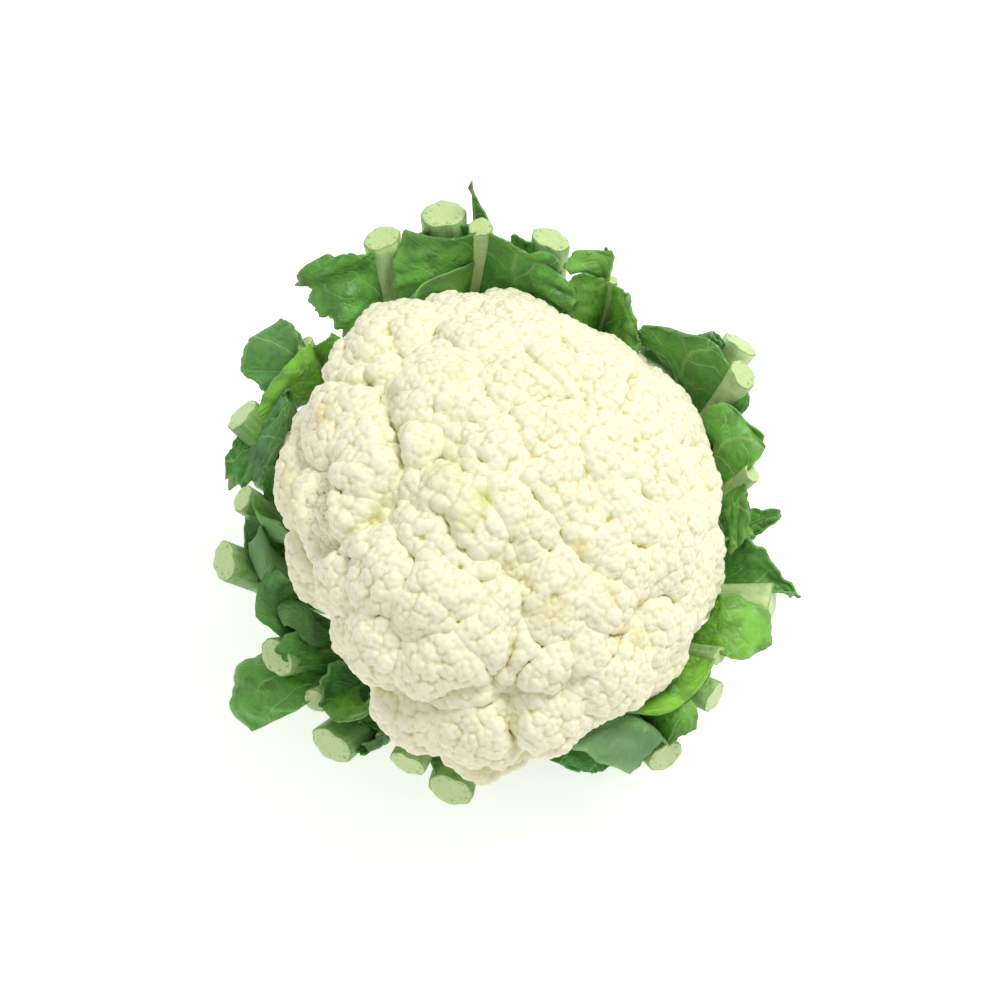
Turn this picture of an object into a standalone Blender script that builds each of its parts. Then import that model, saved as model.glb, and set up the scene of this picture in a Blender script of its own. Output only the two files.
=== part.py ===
"""A trimmed cauliflower head, standing on the flat cut of its stalk.

The curd is one grown body on a short stalk. Around it three whorls of leaves leave the stalk,
one above the other, and each leaf was cut to a stub when the head was trimmed.

Metres, +Z up. The origin is the middle of the stalk's cut face, and -Y is the front. Azimuths
run anticlockwise from +X, seen from above. "ccw" and "cw" name the two sides of a leaf that way.
"""

import math
from collections import namedtuple

import bmesh
import bpy
from mathutils import Vector

MM = 0.001
GAP = 0.3 * MM  # between pieces that touch
WELD = 0.01 * MM  # points closer than this are one
SHARP_ANGLE = math.radians(50)  # edges sharper than this are not shaded smooth

# Curd: two half ellipsoids on one equator, with florets swelling out of them
CURD_HALF_X = 73.5 * MM
CURD_HALF_Y = 83 * MM
CURD_EQUATOR = 62 * MM
CURD_RISE = 56 * MM
CURD_DROP = 28 * MM
CURD_BASE = 38 * MM  # flat underside, where the curd sits on the stalk
CURD_UNDERCUT = 0.3  # how much the underside draws in towards the stalk, and how late
CURD_UNDERCUT_POWER = 1.5
CURD_MESH_LEVEL = 5
CURD_MESH_KEPT = 0.62  # share of the triangles kept
SEAM_DEPTH = 2.5 * MM  # how far the seams between florets go below the ellipsoid

# Stalk
STALK_FOOT_RADIUS = 23 * MM
STALK_TOP_RADIUS = 25 * MM
STALK_CHAMFER = 1.2 * MM
STALK_STEPS = 40

# Leaves
RIB_POINTS = 9
RIB_BEVEL_RESOLUTION = 2
BLADE_THICKNESS = 1.5 * MM
BLADE_START = 0.46  # share of the rib's length where the blade begins and ends
BLADE_END = 0.93
BLADE_END_WIDTH = 0.35  # least width as a share of the full one, and how far into the curve of
BLADE_END_SHARE = 0.15  # its outline the two ends are
BLADE_ROWS = 5
BLADE_COLUMNS = 4
# A rib's bend: its two handles as shares of the straight distance from the stalk to its end
FIRST_HANDLE = 0.38
LAST_HANDLE = 0.5

# Where a whorl's ribs leave the stalk: radius, height, rib radius there, and how far they dip first
Whorl = namedtuple("Whorl", "radius height rib dip")
WHORLS = {
    "outer": Whorl(24.5 * MM, 9 * MM, 5.0 * MM, 0 * MM),
    "middle": Whorl(25.2 * MM, 20 * MM, 4.5 * MM, 1 * MM),
    "inner": Whorl(26.0 * MM, 31 * MM, 3.0 * MM, 4 * MM),
}

# Florets: azimuth and angle from the top in degrees, half width in degrees, rise in mm
FLORETS = (
    (352, 18, 15, 3.6), (42, 15, 13, 3.4), (126, 6, 14, 3.4), (217, 17, 17, 4.4),
    (299, 16, 13, 3.4), (78, 26, 15, 3.6), (129, 28, 19, 4.4), (174, 34, 13, 4.4),
    (11, 31, 14, 3.4), (340, 37, 14, 3.4), (292, 35, 15, 4.2), (243, 36, 16, 4.6),
    (80, 50, 17, 3.8), (48, 46, 16, 3.6), (22, 52, 16, 3.6), (352, 56, 17, 3.8),
    (312, 46, 12, 3.6), (268, 42, 13, 4.4), (232, 55, 15, 4.4), (255, 51, 16, 4.6),
    (195, 50, 17, 4.6), (154, 51, 17, 4.6), (124, 63, 18, 4.6), (102, 66, 12, 4.0),
    (306, 65, 17, 4.4), (327, 68, 15, 4.2), (284, 70, 15, 4.4), (264, 73, 15, 4.4),
    (243, 73, 15, 4.4), (217, 66, 12, 3.6), (198, 72, 15, 4.2), (174, 70, 16, 4.4),
    (147, 74, 16, 4.4), (80, 76, 18, 4.2), (56, 72, 17, 4.2), (32, 76, 17, 4.2),
    (8, 78, 18, 4.2), (343, 80, 16, 4.2), (318, 90, 16, 4.0), (292, 92, 16, 4.0),
    (266, 94, 15, 4.0), (240, 94, 15, 4.0), (212, 92, 16, 4.0), (184, 93, 16, 4.0),
    (156, 95, 16, 4.0), (128, 88, 17, 4.2), (102, 94, 17, 4.0), (74, 98, 16, 4.0),
    (46, 95, 17, 4.0), (18, 98, 17, 4.0), (352, 102, 15, 4.0), (330, 108, 15, 4.0),
)

# Dents, where the curd's side is flatter: azimuth and angle from the top in degrees, half width in
# degrees, depth in mm
DENTS = (
    (214, 96, 44, 17), (300, 100, 26, 12), (256, 98, 18, 5), (64, 74, 34, 7),
    (146, 80, 26, 6.5), (2, 92, 22, 3), (326, 96, 20, 2.5), (184, 88, 30, 10),
    (240, 96, 24, 5), (292, 94, 26, 6),
)

# Leaves: the azimuth at the stalk, then the cut end's azimuth, radius and height in mm and the
# slope of the rib there in degrees, the rib's radius at the end in mm, and for each side of the
# blade its width in mm and how far its edge leans out from the head in mm
Leaf = namedtuple("Leaf", "whorl base azimuth radius height slope rib ccw ccw_lean cw cw_lean")
LEAVES = {
    "outer_leaf_1": Leaf("outer", 112, 100, 110, 86, 70, 7.5, 8, 0, 3, 0),
    "outer_leaf_2": Leaf("outer", 76, 80, 106, 75, 70, 6.5, 6, 0, 8, -2),
    "outer_leaf_3": Leaf("outer", 40, 38.5, 108, 68, 55, 6.3, 9, 0, 8, 0),
    "outer_leaf_4": Leaf("outer", 348, 346, 96.5, 55, 30, 6.3, 14, 0, 1, 0),
    "outer_leaf_5": Leaf("outer", 296, 296, 81, 22, 12, 3.0, 11, 0, 12, 0),
    "outer_leaf_6": Leaf("outer", 264, 259.5, 87, 40, 30, 7.5, 8, 0, 8, 0),
    "outer_leaf_7": Leaf("outer", 230, 232, 91, 46, 38, 7.5, 7, 0, 1, 0),
    "outer_leaf_8": Leaf("outer", 189, 187, 93.5, 62, 58, 6.6, 11, -3, 9, 0),
    "outer_leaf_9": Leaf("outer", 150, 155.5, 97, 68, 60, 6.5, 10, 0, 10, -2),
    "middle_leaf_1": Leaf("middle", 130, 112, 108, 84, 64, 6.3, 20, 0, 5, -2),
    "middle_leaf_2": Leaf("middle", 88, 94.5, 113, 95, 76, 2.0, 1, 0, 8, 0),
    "middle_leaf_3": Leaf("middle", 30, 30.5, 97, 82, 74, 5.2, 26, -5, 14, -1),
    "middle_leaf_4": Leaf("middle", 2, 6, 97, 50, 45, 3.0, 7, 0, 7, 0),
    "middle_leaf_5": Leaf("middle", 322, 323, 92, 48, 32, 5.6, 5, -2, 8, -2),
    "middle_leaf_6": Leaf("middle", 292, 307, 94, 44, 28, 6.3, 6, 0, 16, -1),
    "middle_leaf_7": Leaf("middle", 250, 249, 84.5, 48, 34, 6.2, 5, -1, 0.5, 0),
    "middle_leaf_8": Leaf("middle", 206, 210.5, 86.5, 56, 50, 6.6, 1, 0, 14, 0),
    "middle_leaf_9": Leaf("middle", 170, 173, 88, 64, 60, 4.8, 8, -1, 7, -1),
    "inner_leaf_1": Leaf("inner", 104, 93.5, 99.5, 94, 92, 4.0, 22, -4, 20, -4),
    "inner_leaf_2": Leaf("inner", 66, 65, 93, 84, 90, 2.2, 14, -1, 16, 1),
    "inner_leaf_3": Leaf("inner", 18, 11.5, 88.5, 70, 68, 3.4, 20, -2, 24, -2),
    "inner_leaf_4": Leaf("inner", 336, 329, 87, 60, 50, 3.2, 10, 3, 34, -1),
    "inner_leaf_5": Leaf("inner", 240, 240.5, 79, 44, 30, 2.6, 3, -1, 5, -1),
    "inner_leaf_6": Leaf("inner", 219, 223, 84, 50, 45, 4.2, 10, -2, 5, 0),
    "inner_leaf_7": Leaf("inner", 148, 136, 93, 74, 68, 3.0, 16, 2, 10, -1),
}

CURD_COLOUR = (0.90, 0.87, 0.68)
CURD_ROUGHNESS = 0.6
STALK_COLOUR = (0.62, 0.70, 0.42)
GREEN_ROUGHNESS = 0.5  # stalk and leaves
WHORL_COLOURS = {
    "outer": (0.22, 0.42, 0.14),
    "middle": (0.14, 0.34, 0.10),
    "inner": (0.24, 0.48, 0.10),
}


def clear_scene():
    for obj in list(bpy.data.objects):
        bpy.data.objects.remove(obj, do_unlink=True)


def new_collection(name):
    collection = bpy.data.collections.new(name)
    bpy.context.scene.collection.children.link(collection)
    return collection


def new_material(name, colour, roughness):
    material = bpy.data.materials.new(name)
    material.use_nodes = True
    shader = material.node_tree.nodes["Principled BSDF"]
    shader.inputs["Base Color"].default_value = (*colour, 1)
    shader.inputs["Roughness"].default_value = roughness
    shader.inputs["Metallic"].default_value = 0
    return material


def add_object(name, data, collection, material=None):
    obj = bpy.data.objects.new(name, data)
    collection.objects.link(obj)
    if material:
        data.materials.append(material)
    return obj


def smooth(mesh):
    mesh.shade_smooth()
    mesh.set_sharp_from_angle(angle=SHARP_ANGLE)


# ---------------------------------------------------------------- curd


def direction(azimuth, polar):
    """Unit vector at an azimuth and an angle from the top, both in degrees."""
    azimuth, polar = math.radians(azimuth), math.radians(polar)
    return Vector((
        math.sin(polar) * math.cos(azimuth),
        math.sin(polar) * math.sin(azimuth),
        math.cos(polar),
    ))


def floret_rise(unit, florets):
    """Height of the floret surface above the ellipsoid: the highest of the domes there."""
    rise = -SEAM_DEPTH
    for centre, half_width, height in florets:
        share = unit.angle(centre) / half_width
        rise = max(rise, height * (1 - share * share))
    return rise


def dent_depth(unit, dents):
    """How far the dents pull the surface in, easing out to nothing at their edges."""
    depth = 0
    for centre, half_width, deepest in dents:
        share = max(0, 1 - unit.angle(centre) / half_width)
        depth += deepest * share * share * (3 - 2 * share)
    return depth


def placed(rows):
    """Rows of azimuth, angle from the top, half width and height, as way, radians and metres."""
    return [
        (direction(azimuth, polar), math.radians(half_width), height * MM)
        for azimuth, polar, half_width, height in rows
    ]


def make_curd(collection):
    florets, dents = placed(FLORETS), placed(DENTS)
    bm = bmesh.new()
    bmesh.ops.create_icosphere(bm, subdivisions=CURD_MESH_LEVEL, radius=1)
    for vert in bm.verts:
        unit = vert.co.normalized()
        half_z = CURD_RISE if unit.z > 0 else CURD_DROP
        drawn_in = 1 - CURD_UNDERCUT * max(0, -unit.z) ** CURD_UNDERCUT_POWER
        on_ellipsoid = Vector((
            unit.x * CURD_HALF_X * drawn_in,
            unit.y * CURD_HALF_Y * drawn_in,
            unit.z * half_z,
        ))
        outward = Vector((unit.x / CURD_HALF_X, unit.y / CURD_HALF_Y, unit.z / half_z)).normalized()
        rise = floret_rise(unit, florets) - dent_depth(unit, dents)
        vert.co = on_ellipsoid + outward * rise
        vert.co.z += CURD_EQUATOR
    everything = bm.verts[:] + bm.edges[:] + bm.faces[:]
    bmesh.ops.bisect_plane(
        bm, geom=everything, plane_co=(0, 0, CURD_BASE), plane_no=(0, 0, 1), clear_inner=True
    )
    bmesh.ops.holes_fill(bm, edges=[edge for edge in bm.edges if edge.is_boundary])
    bmesh.ops.recalc_face_normals(bm, faces=bm.faces[:])
    mesh = bpy.data.meshes.new("curd")
    bm.to_mesh(mesh)
    bm.free()
    smooth(mesh)
    curd = add_object("curd", mesh, collection, new_material("curd", CURD_COLOUR, CURD_ROUGHNESS))
    thin_out = curd.modifiers.new("fewer triangles", "DECIMATE")
    thin_out.ratio = CURD_MESH_KEPT
    return curd


# ---------------------------------------------------------------- stalk


def make_stalk(collection):
    """A turned stub: its profile runs down the outside, from the middle of the top to the foot."""
    top = CURD_BASE - GAP
    profile = (
        (0, top),
        (STALK_TOP_RADIUS, top),
        (STALK_FOOT_RADIUS, STALK_CHAMFER),
        (STALK_FOOT_RADIUS - STALK_CHAMFER, 0),
        (0, 0),
    )
    mesh = bpy.data.meshes.new("stalk")
    edges = [(i, i + 1) for i in range(len(profile) - 1)]
    mesh.from_pydata([(radius, 0, height) for radius, height in profile], edges, [])
    material = new_material("stalk", STALK_COLOUR, GREEN_ROUGHNESS)
    stalk = add_object("stalk", mesh, collection, material)
    turn = stalk.modifiers.new("turn", "SCREW")
    turn.axis = "Z"
    turn.angle = math.tau
    turn.steps = turn.render_steps = STALK_STEPS
    turn.use_merge_vertices = True
    turn.merge_threshold = WELD
    turn.use_smooth_shade = False
    return stalk


# ---------------------------------------------------------------- leaves


def bezier(points, share):
    """Point on a cubic Bezier curve given by four points."""
    rest = 1 - share
    weights = (rest**3, 3 * rest**2 * share, 3 * rest * share**2, share**3)
    return tuple(sum(w * p[i] for w, p in zip(weights, points)) for i in range(2))


def head_radius(azimuth):
    """The head's plan is an ellipse: its radius towards an azimuth in radians."""
    return 1 / math.hypot(math.cos(azimuth) / CURD_HALF_X, math.sin(azimuth) / CURD_HALF_Y)


def rib_place(leaf, share):
    """Azimuth, radius and height of the rib's centre line at a share of its length."""
    whorl = WHORLS[leaf.whorl]
    end = (leaf.radius * MM, leaf.height * MM)
    length = math.dist((whorl.radius, whorl.height), end)
    handle = LAST_HANDLE * length
    slope = math.radians(leaf.slope)
    radius, height = bezier(
        (
            (whorl.radius, whorl.height),
            (whorl.radius + FIRST_HANDLE * length, whorl.height - whorl.dip),
            (end[0] - handle * math.cos(slope), end[1] - handle * math.sin(slope)),
            end,
        ),
        share,
    )
    turn = share * share * (3 - 2 * share)
    return math.radians(leaf.base + (leaf.azimuth - leaf.base) * turn), radius, height


def cylindrical(azimuth, radius, height):
    return Vector((radius * math.cos(azimuth), radius * math.sin(azimuth), height))


def rib_mesh(name, leaf):
    """The rib: a tube that thickens from the stalk to its cut end, with its caps welded."""
    curve = bpy.data.curves.new(name, "CURVE")
    curve.dimensions = "3D"
    curve.bevel_depth = 1
    curve.bevel_resolution = RIB_BEVEL_RESOLUTION
    curve.use_fill_caps = True
    spline = curve.splines.new("POLY")
    spline.points.add(RIB_POINTS - 1)
    thin = WHORLS[leaf.whorl].rib
    for i, point in enumerate(spline.points):
        share = i / (RIB_POINTS - 1)
        point.co = (*cylindrical(*rib_place(leaf, share)), 1)
        point.radius = thin + (leaf.rib * MM - thin) * share
    guide = bpy.data.objects.new(name + "_curve", curve)
    bpy.context.scene.collection.objects.link(guide)
    evaluated = guide.evaluated_get(bpy.context.evaluated_depsgraph_get())
    mesh = bpy.data.meshes.new_from_object(evaluated)
    bpy.data.objects.remove(guide, do_unlink=True)
    bm = bmesh.new()
    bm.from_mesh(mesh)
    bmesh.ops.remove_doubles(bm, verts=bm.verts[:], dist=WELD)
    bmesh.ops.recalc_face_normals(bm, faces=bm.faces[:])
    bm.to_mesh(mesh)
    bm.free()
    mesh.name = name
    return mesh


def blade_point(leaf, across, along):
    """A point of the blade: across runs from -1, the cw edge, to 1, the ccw edge; along 0 to 1."""
    share = BLADE_START + (BLADE_END - BLADE_START) * along
    azimuth, radius, height = rib_place(leaf, share)
    width, lean = (leaf.ccw, leaf.ccw_lean) if across > 0 else (leaf.cw, leaf.cw_lean)
    swell = math.sin(math.pi * (BLADE_END_SHARE + (1 - 2 * BLADE_END_SHARE) * along))
    reach = width * MM * (BLADE_END_WIDTH + (1 - BLADE_END_WIDTH) * swell)
    turned = azimuth + across * reach / radius
    wrapped = radius * head_radius(turned) / head_radius(azimuth)
    return cylindrical(turned, wrapped + abs(across) * lean * MM, height)


def make_blade(name, leaf, collection):
    """An open sheet through the rib, following the head round, thickened by Solidify."""
    bm = bmesh.new()
    bmesh.ops.create_grid(bm, x_segments=BLADE_COLUMNS, y_segments=BLADE_ROWS, size=1)
    for vert in bm.verts:
        vert.co = blade_point(leaf, vert.co.x, (vert.co.y + 1) / 2)
    bmesh.ops.recalc_face_normals(bm, faces=bm.faces[:])
    mesh = bpy.data.meshes.new(name + "_blade")
    bm.to_mesh(mesh)
    bm.free()
    blade = add_object(name + "_blade", mesh, collection)
    blade.hide_render = True
    blade.display_type = "WIRE"
    wall = blade.modifiers.new("thickness", "SOLIDIFY")
    wall.thickness = BLADE_THICKNESS
    wall.offset = 0
    return blade


def make_leaf(name, leaf, collection, guides, material):
    mesh = rib_mesh(name, leaf)
    smooth(mesh)
    obj = add_object(name, mesh, collection, material)
    join = obj.modifiers.new("blade", "BOOLEAN")
    join.operation = "UNION"
    join.solver = "EXACT"
    join.object = make_blade(name, leaf, guides)
    return obj


def main():
    clear_scene()
    parts = new_collection("cauliflower")
    guides = new_collection("guides")
    make_curd(parts)
    make_stalk(parts)
    greens = {
        whorl: new_material(whorl + "_leaf", colour, GREEN_ROUGHNESS)
        for whorl, colour in WHORL_COLOURS.items()
    }
    for name, leaf in LEAVES.items():
        make_leaf(name, leaf, parts, guides, greens[leaf.whorl])


main()
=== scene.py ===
"""The finished look of a trimmed cauliflower head, laid out as an add-on.

The curd is a lobed surface that Geometry Nodes bead over in three sizes. Each leaf is a ribbed
stem with a fibrous cut end, narrow wings and what is left of its blades, grown along the same
path as its solid in the frame. Metres, +Z up, -Y is the front. Azimuths run anticlockwise from
+X, seen from above; "ccw" and "cw" name the two sides of a leaf that way.
"""

import math
from collections import namedtuple

import bpy
import numpy as np
from bpy.props import FloatProperty, FloatVectorProperty, IntProperty, PointerProperty
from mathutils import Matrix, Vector


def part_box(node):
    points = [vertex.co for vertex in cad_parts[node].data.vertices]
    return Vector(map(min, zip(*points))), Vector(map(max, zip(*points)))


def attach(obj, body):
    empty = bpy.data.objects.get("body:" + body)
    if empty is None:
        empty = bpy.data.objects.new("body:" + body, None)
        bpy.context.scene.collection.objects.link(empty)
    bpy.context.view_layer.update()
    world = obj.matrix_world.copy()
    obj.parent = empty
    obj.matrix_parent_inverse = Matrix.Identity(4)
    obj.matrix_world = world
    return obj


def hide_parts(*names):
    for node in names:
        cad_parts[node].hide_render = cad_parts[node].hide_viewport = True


bl_info = {
    "name": "Cauliflower Head",
    "version": (1, 0, 0),
    "blender": (4, 5, 0),
    "location": "3D View > Sidebar > Cauliflower",
    "description": "Grows a cauliflower's curd, stalk and trimmed leaves on its measured frame",
    "category": "Add Mesh",
}

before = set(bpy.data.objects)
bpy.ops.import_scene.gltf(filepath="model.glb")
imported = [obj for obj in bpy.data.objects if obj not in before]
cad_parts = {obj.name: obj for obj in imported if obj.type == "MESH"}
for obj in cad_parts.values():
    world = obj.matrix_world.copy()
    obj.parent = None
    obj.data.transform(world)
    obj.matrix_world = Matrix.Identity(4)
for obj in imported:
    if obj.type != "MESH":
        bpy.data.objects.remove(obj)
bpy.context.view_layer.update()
CURD_LOW, CURD_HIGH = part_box("curd")
STALK_LOW, STALK_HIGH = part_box("stalk")

MM = 0.001
UP = np.array((0.0, 0.0, 1.0))

# ---------------------------------------------------------------- curd layout

CURD_HALF_X = 73.5 * MM
CURD_HALF_Y = 83 * MM
CURD_EQUATOR = 62 * MM
CURD_RISE = 56 * MM
CURD_DROP = 28 * MM
CURD_UNDERCUT = 0.3
CURD_UNDERCUT_POWER = 1.5

# Lobes, the big swellings: azimuth, angle from the top, half width (degrees) and rise (mm)
LOBES = (
    (125, 60, 30, 4.6), (174, 46, 26, 5.2), (140, 22, 25, 3.6), (235, 42, 27, 7.0),
    (255, 73, 26, 3.6), (300, 60, 30, 4.4), (340, 40, 38, 4.6), (30, 40, 40, 4.8),
    (80, 52, 34, 4.6), (192, 86, 26, 3.4), (60, 88, 36, 3.6), (110, 92, 34, 3.4),
    (340, 88, 34, 3.4), (15, 90, 32, 3.4), (150, 92, 26, 3.4), (225, 92, 28, 3.0),
    (290, 96, 28, 3.0), (0, 4, 30, 4.0),
)

# Florets: azimuth, angle from the top, half width (degrees) and rise (mm)
FLORETS = (
    (124, 62, 17, 4.6), (138, 64, 11, 3.8), (102, 61, 11, 3.4), (80, 50, 15, 3.0),
    (154, 50, 15, 4.4), (174, 34, 12, 4.2), (190, 48, 15, 4.2), (206, 53, 12, 4.0),
    (129, 28, 16, 4.0), (109, 18, 10, 3.2), (78, 24, 14, 2.8), (48, 45, 15, 2.8),
    (28, 52, 15, 2.8), (166, 21, 9, 3.4), (126, 6, 13, 3.2), (42, 15, 12, 2.6),
    (352, 18, 13, 3.2), (217, 17, 16, 4.4), (196, 9, 9, 3.2), (299, 15, 12, 3.2),
    (11, 30, 13, 2.8), (8, 50, 14, 2.8), (348, 56, 14, 3.2), (344, 35, 10, 3.2),
    (329, 42, 10, 3.2), (292, 34, 13, 4.0), (312, 43, 10, 3.4), (286, 49, 8, 3.2),
    (302, 50, 9, 3.4), (306, 66, 15, 4.0), (324, 70, 12, 3.8), (340, 73, 10, 3.4),
    (222, 38, 12, 3.8), (243, 35, 13, 4.2), (268, 41, 13, 4.2), (232, 56, 14, 4.4),
    (255, 50, 15, 4.4), (217, 66, 10, 3.4), (244, 72, 13, 4.2), (265, 71, 13, 4.2),
    (283, 70, 13, 4.2), (198, 72, 14, 4.2), (174, 68, 15, 4.4), (154, 74, 14, 4.2),
    (80, 76, 16, 4.2), (56, 70, 15, 3.8), (30, 74, 16, 4.0), (6, 76, 15, 3.8),
    (352, 86, 13, 3.6), (318, 90, 15, 3.6), (292, 90, 14, 3.6), (266, 88, 13, 3.8),
    (240, 92, 14, 3.6), (212, 90, 14, 3.6), (184, 92, 15, 3.6), (156, 96, 15, 3.6),
    (128, 88, 15, 3.8), (102, 92, 15, 3.6), (74, 98, 15, 3.6), (46, 94, 15, 3.6),
    (18, 98, 15, 3.6), (62, 34, 11, 2.6), (100, 39, 12, 3.0), (24, 14, 9, 2.4),
    (260, 18, 11, 3.4), (270, 6, 8, 2.6), (333, 26, 9, 2.8), (160, 10, 7, 2.8),
    (65, 58, 10, 2.6), (358, 66, 10, 3.0), (142, 42, 9, 3.4), (230, 24, 8, 3.6),
)
# Places where the curd's side falls short of its ellipsoid: azimuth, angle from the top, half
# width (degrees) and depth (mm)
DENTS = (
    (214, 96, 44, 17.0), (300, 100, 26, 12.0), (256, 98, 18, 5.0), (64, 74, 34, 7.0),
    (146, 80, 26, 6.5), (2, 92, 22, 3.0), (326, 96, 20, 2.5), (184, 88, 30, 10.0),
    (240, 96, 24, 5.0), (292, 94, 26, 6.0),
)
LOWERED = 3.5 * MM  # how far the lobes' feet lie below the ellipsoid
LOBE_SEAM = 1.8 * MM
FLORET_SEAM = 1.6 * MM

# Tan bruises: azimuth, angle from the top, half width (degrees) and strength
BRUISES = (
    (321, 50, 2.6, 1.0), (311, 52, 2.6, 0.8), (315, 58, 2.2, 0.6), (292, 36, 4.5, 0.4),
    (318, 28, 2.4, 0.7), (315, 42, 2.2, 0.5), (160, 47, 2.4, 0.6), (176, 60, 2.6, 0.4),
    (116, 24, 2.6, 0.4), (268, 84, 6.0, 0.35), (186, 56, 4.0, 0.5), (252, 60, 3.2, 0.3),
    (100, 70, 3.0, 0.3), (40, 80, 4.0, 0.4), (140, 80, 4.0, 0.35),
)
# Yellow-green tints where the curd has begun to green
GREENED = ((250, 9.5, 2.6, 0.9), (243, 15, 3.0, 0.4), (190, 12, 6.0, 0.25))

# Tints of the curd's flaws, as colours with full strength
TORN_FLESH = (0.93, 0.90, 0.68, 1)
BRUISE_TAN = (0.74, 0.61, 0.26, 1)
GREENED_TINT = (0.62, 0.66, 0.18, 1)
UNDERSIDE_GREEN = (0.56, 0.62, 0.34, 1)
DARK_SPECK = (0.12, 0.12, 0.05, 1)

# ---------------------------------------------------------------- leaf layout

FIRST_HANDLE = 0.38
LAST_HANDLE = 0.5
Whorl = namedtuple("Whorl", "radius height rib dip")
WHORLS = {
    "outer": Whorl(24.5, 9, 5.0, 0),
    "middle": Whorl(25.2, 20, 4.5, 1),
    "inner": Whorl(26.0, 31, 3.0, 4),
}

# The ribs' paths, as their solids have them: whorl, azimuth at the stalk, then the cut end's
# azimuth, radius and height in mm, its slope in degrees and the rib's radius there in mm. Tone is
# how green the rib's skin is: 0 is pale, 1 is dark. A rib that wasn't cut thins out to a tip.
Leaf = namedtuple("Leaf", "whorl base azimuth radius height slope rib tone tip", defaults=(False,))
LEAVES = {
    "outer_leaf_1": Leaf("outer", 112, 100, 110, 86, 70, 7.5, 0.5),
    "outer_leaf_2": Leaf("outer", 76, 80, 106, 75, 70, 6.5, 0.5),
    "outer_leaf_3": Leaf("outer", 40, 38.5, 108, 68, 55, 6.3, 0.1),
    "outer_leaf_4": Leaf("outer", 348, 346, 96.5, 55, 30, 6.3, 0.0),
    "outer_leaf_5": Leaf("outer", 296, 296, 81, 22, 12, 3.0, 0.8, True),
    "outer_leaf_6": Leaf("outer", 264, 259.5, 87, 40, 30, 7.5, 0.7),
    "outer_leaf_7": Leaf("outer", 230, 232, 91, 46, 38, 7.5, 0.75),
    "outer_leaf_8": Leaf("outer", 189, 187, 93.5, 62, 58, 6.6, 0.65),
    "outer_leaf_9": Leaf("outer", 150, 155.5, 97, 68, 60, 6.5, 0.8),
    "middle_leaf_1": Leaf("middle", 130, 112, 108, 84, 64, 6.3, 0.25),
    "middle_leaf_2": Leaf("middle", 88, 94.5, 113, 95, 76, 2.0, 0.9, True),
    "middle_leaf_3": Leaf("middle", 30, 30.5, 97, 82, 74, 5.2, 0.15),
    "middle_leaf_4": Leaf("middle", 2, 6, 97, 50, 45, 3.0, 1.0, True),
    "middle_leaf_5": Leaf("middle", 322, 323, 92, 48, 32, 5.6, 0.35),
    "middle_leaf_6": Leaf("middle", 292, 307, 94, 44, 28, 6.3, 0.4),
    "middle_leaf_7": Leaf("middle", 250, 249, 84.5, 48, 34, 6.2, 0.5),
    "middle_leaf_8": Leaf("middle", 206, 210.5, 86.5, 56, 50, 6.6, 0.6),
    "middle_leaf_9": Leaf("middle", 170, 173, 88, 64, 60, 4.8, 0.5),
    "inner_leaf_1": Leaf("inner", 104, 93.5, 99.5, 94, 92, 4.0, 0.0),
    "inner_leaf_2": Leaf("inner", 66, 65, 93, 84, 90, 2.2, 0.6),
    "inner_leaf_3": Leaf("inner", 18, 11.5, 88.5, 70, 68, 3.4, 0.25),
    "inner_leaf_4": Leaf("inner", 336, 329, 87, 60, 50, 3.2, 0.4),
    "inner_leaf_5": Leaf("inner", 240, 240.5, 79, 44, 30, 2.6, 0.7),
    "inner_leaf_6": Leaf("inner", 219, 223, 84, 50, 45, 4.2, 0.05),
    "inner_leaf_7": Leaf("inner", 148, 136, 93, 74, 68, 3.0, 0.4),
}

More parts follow.
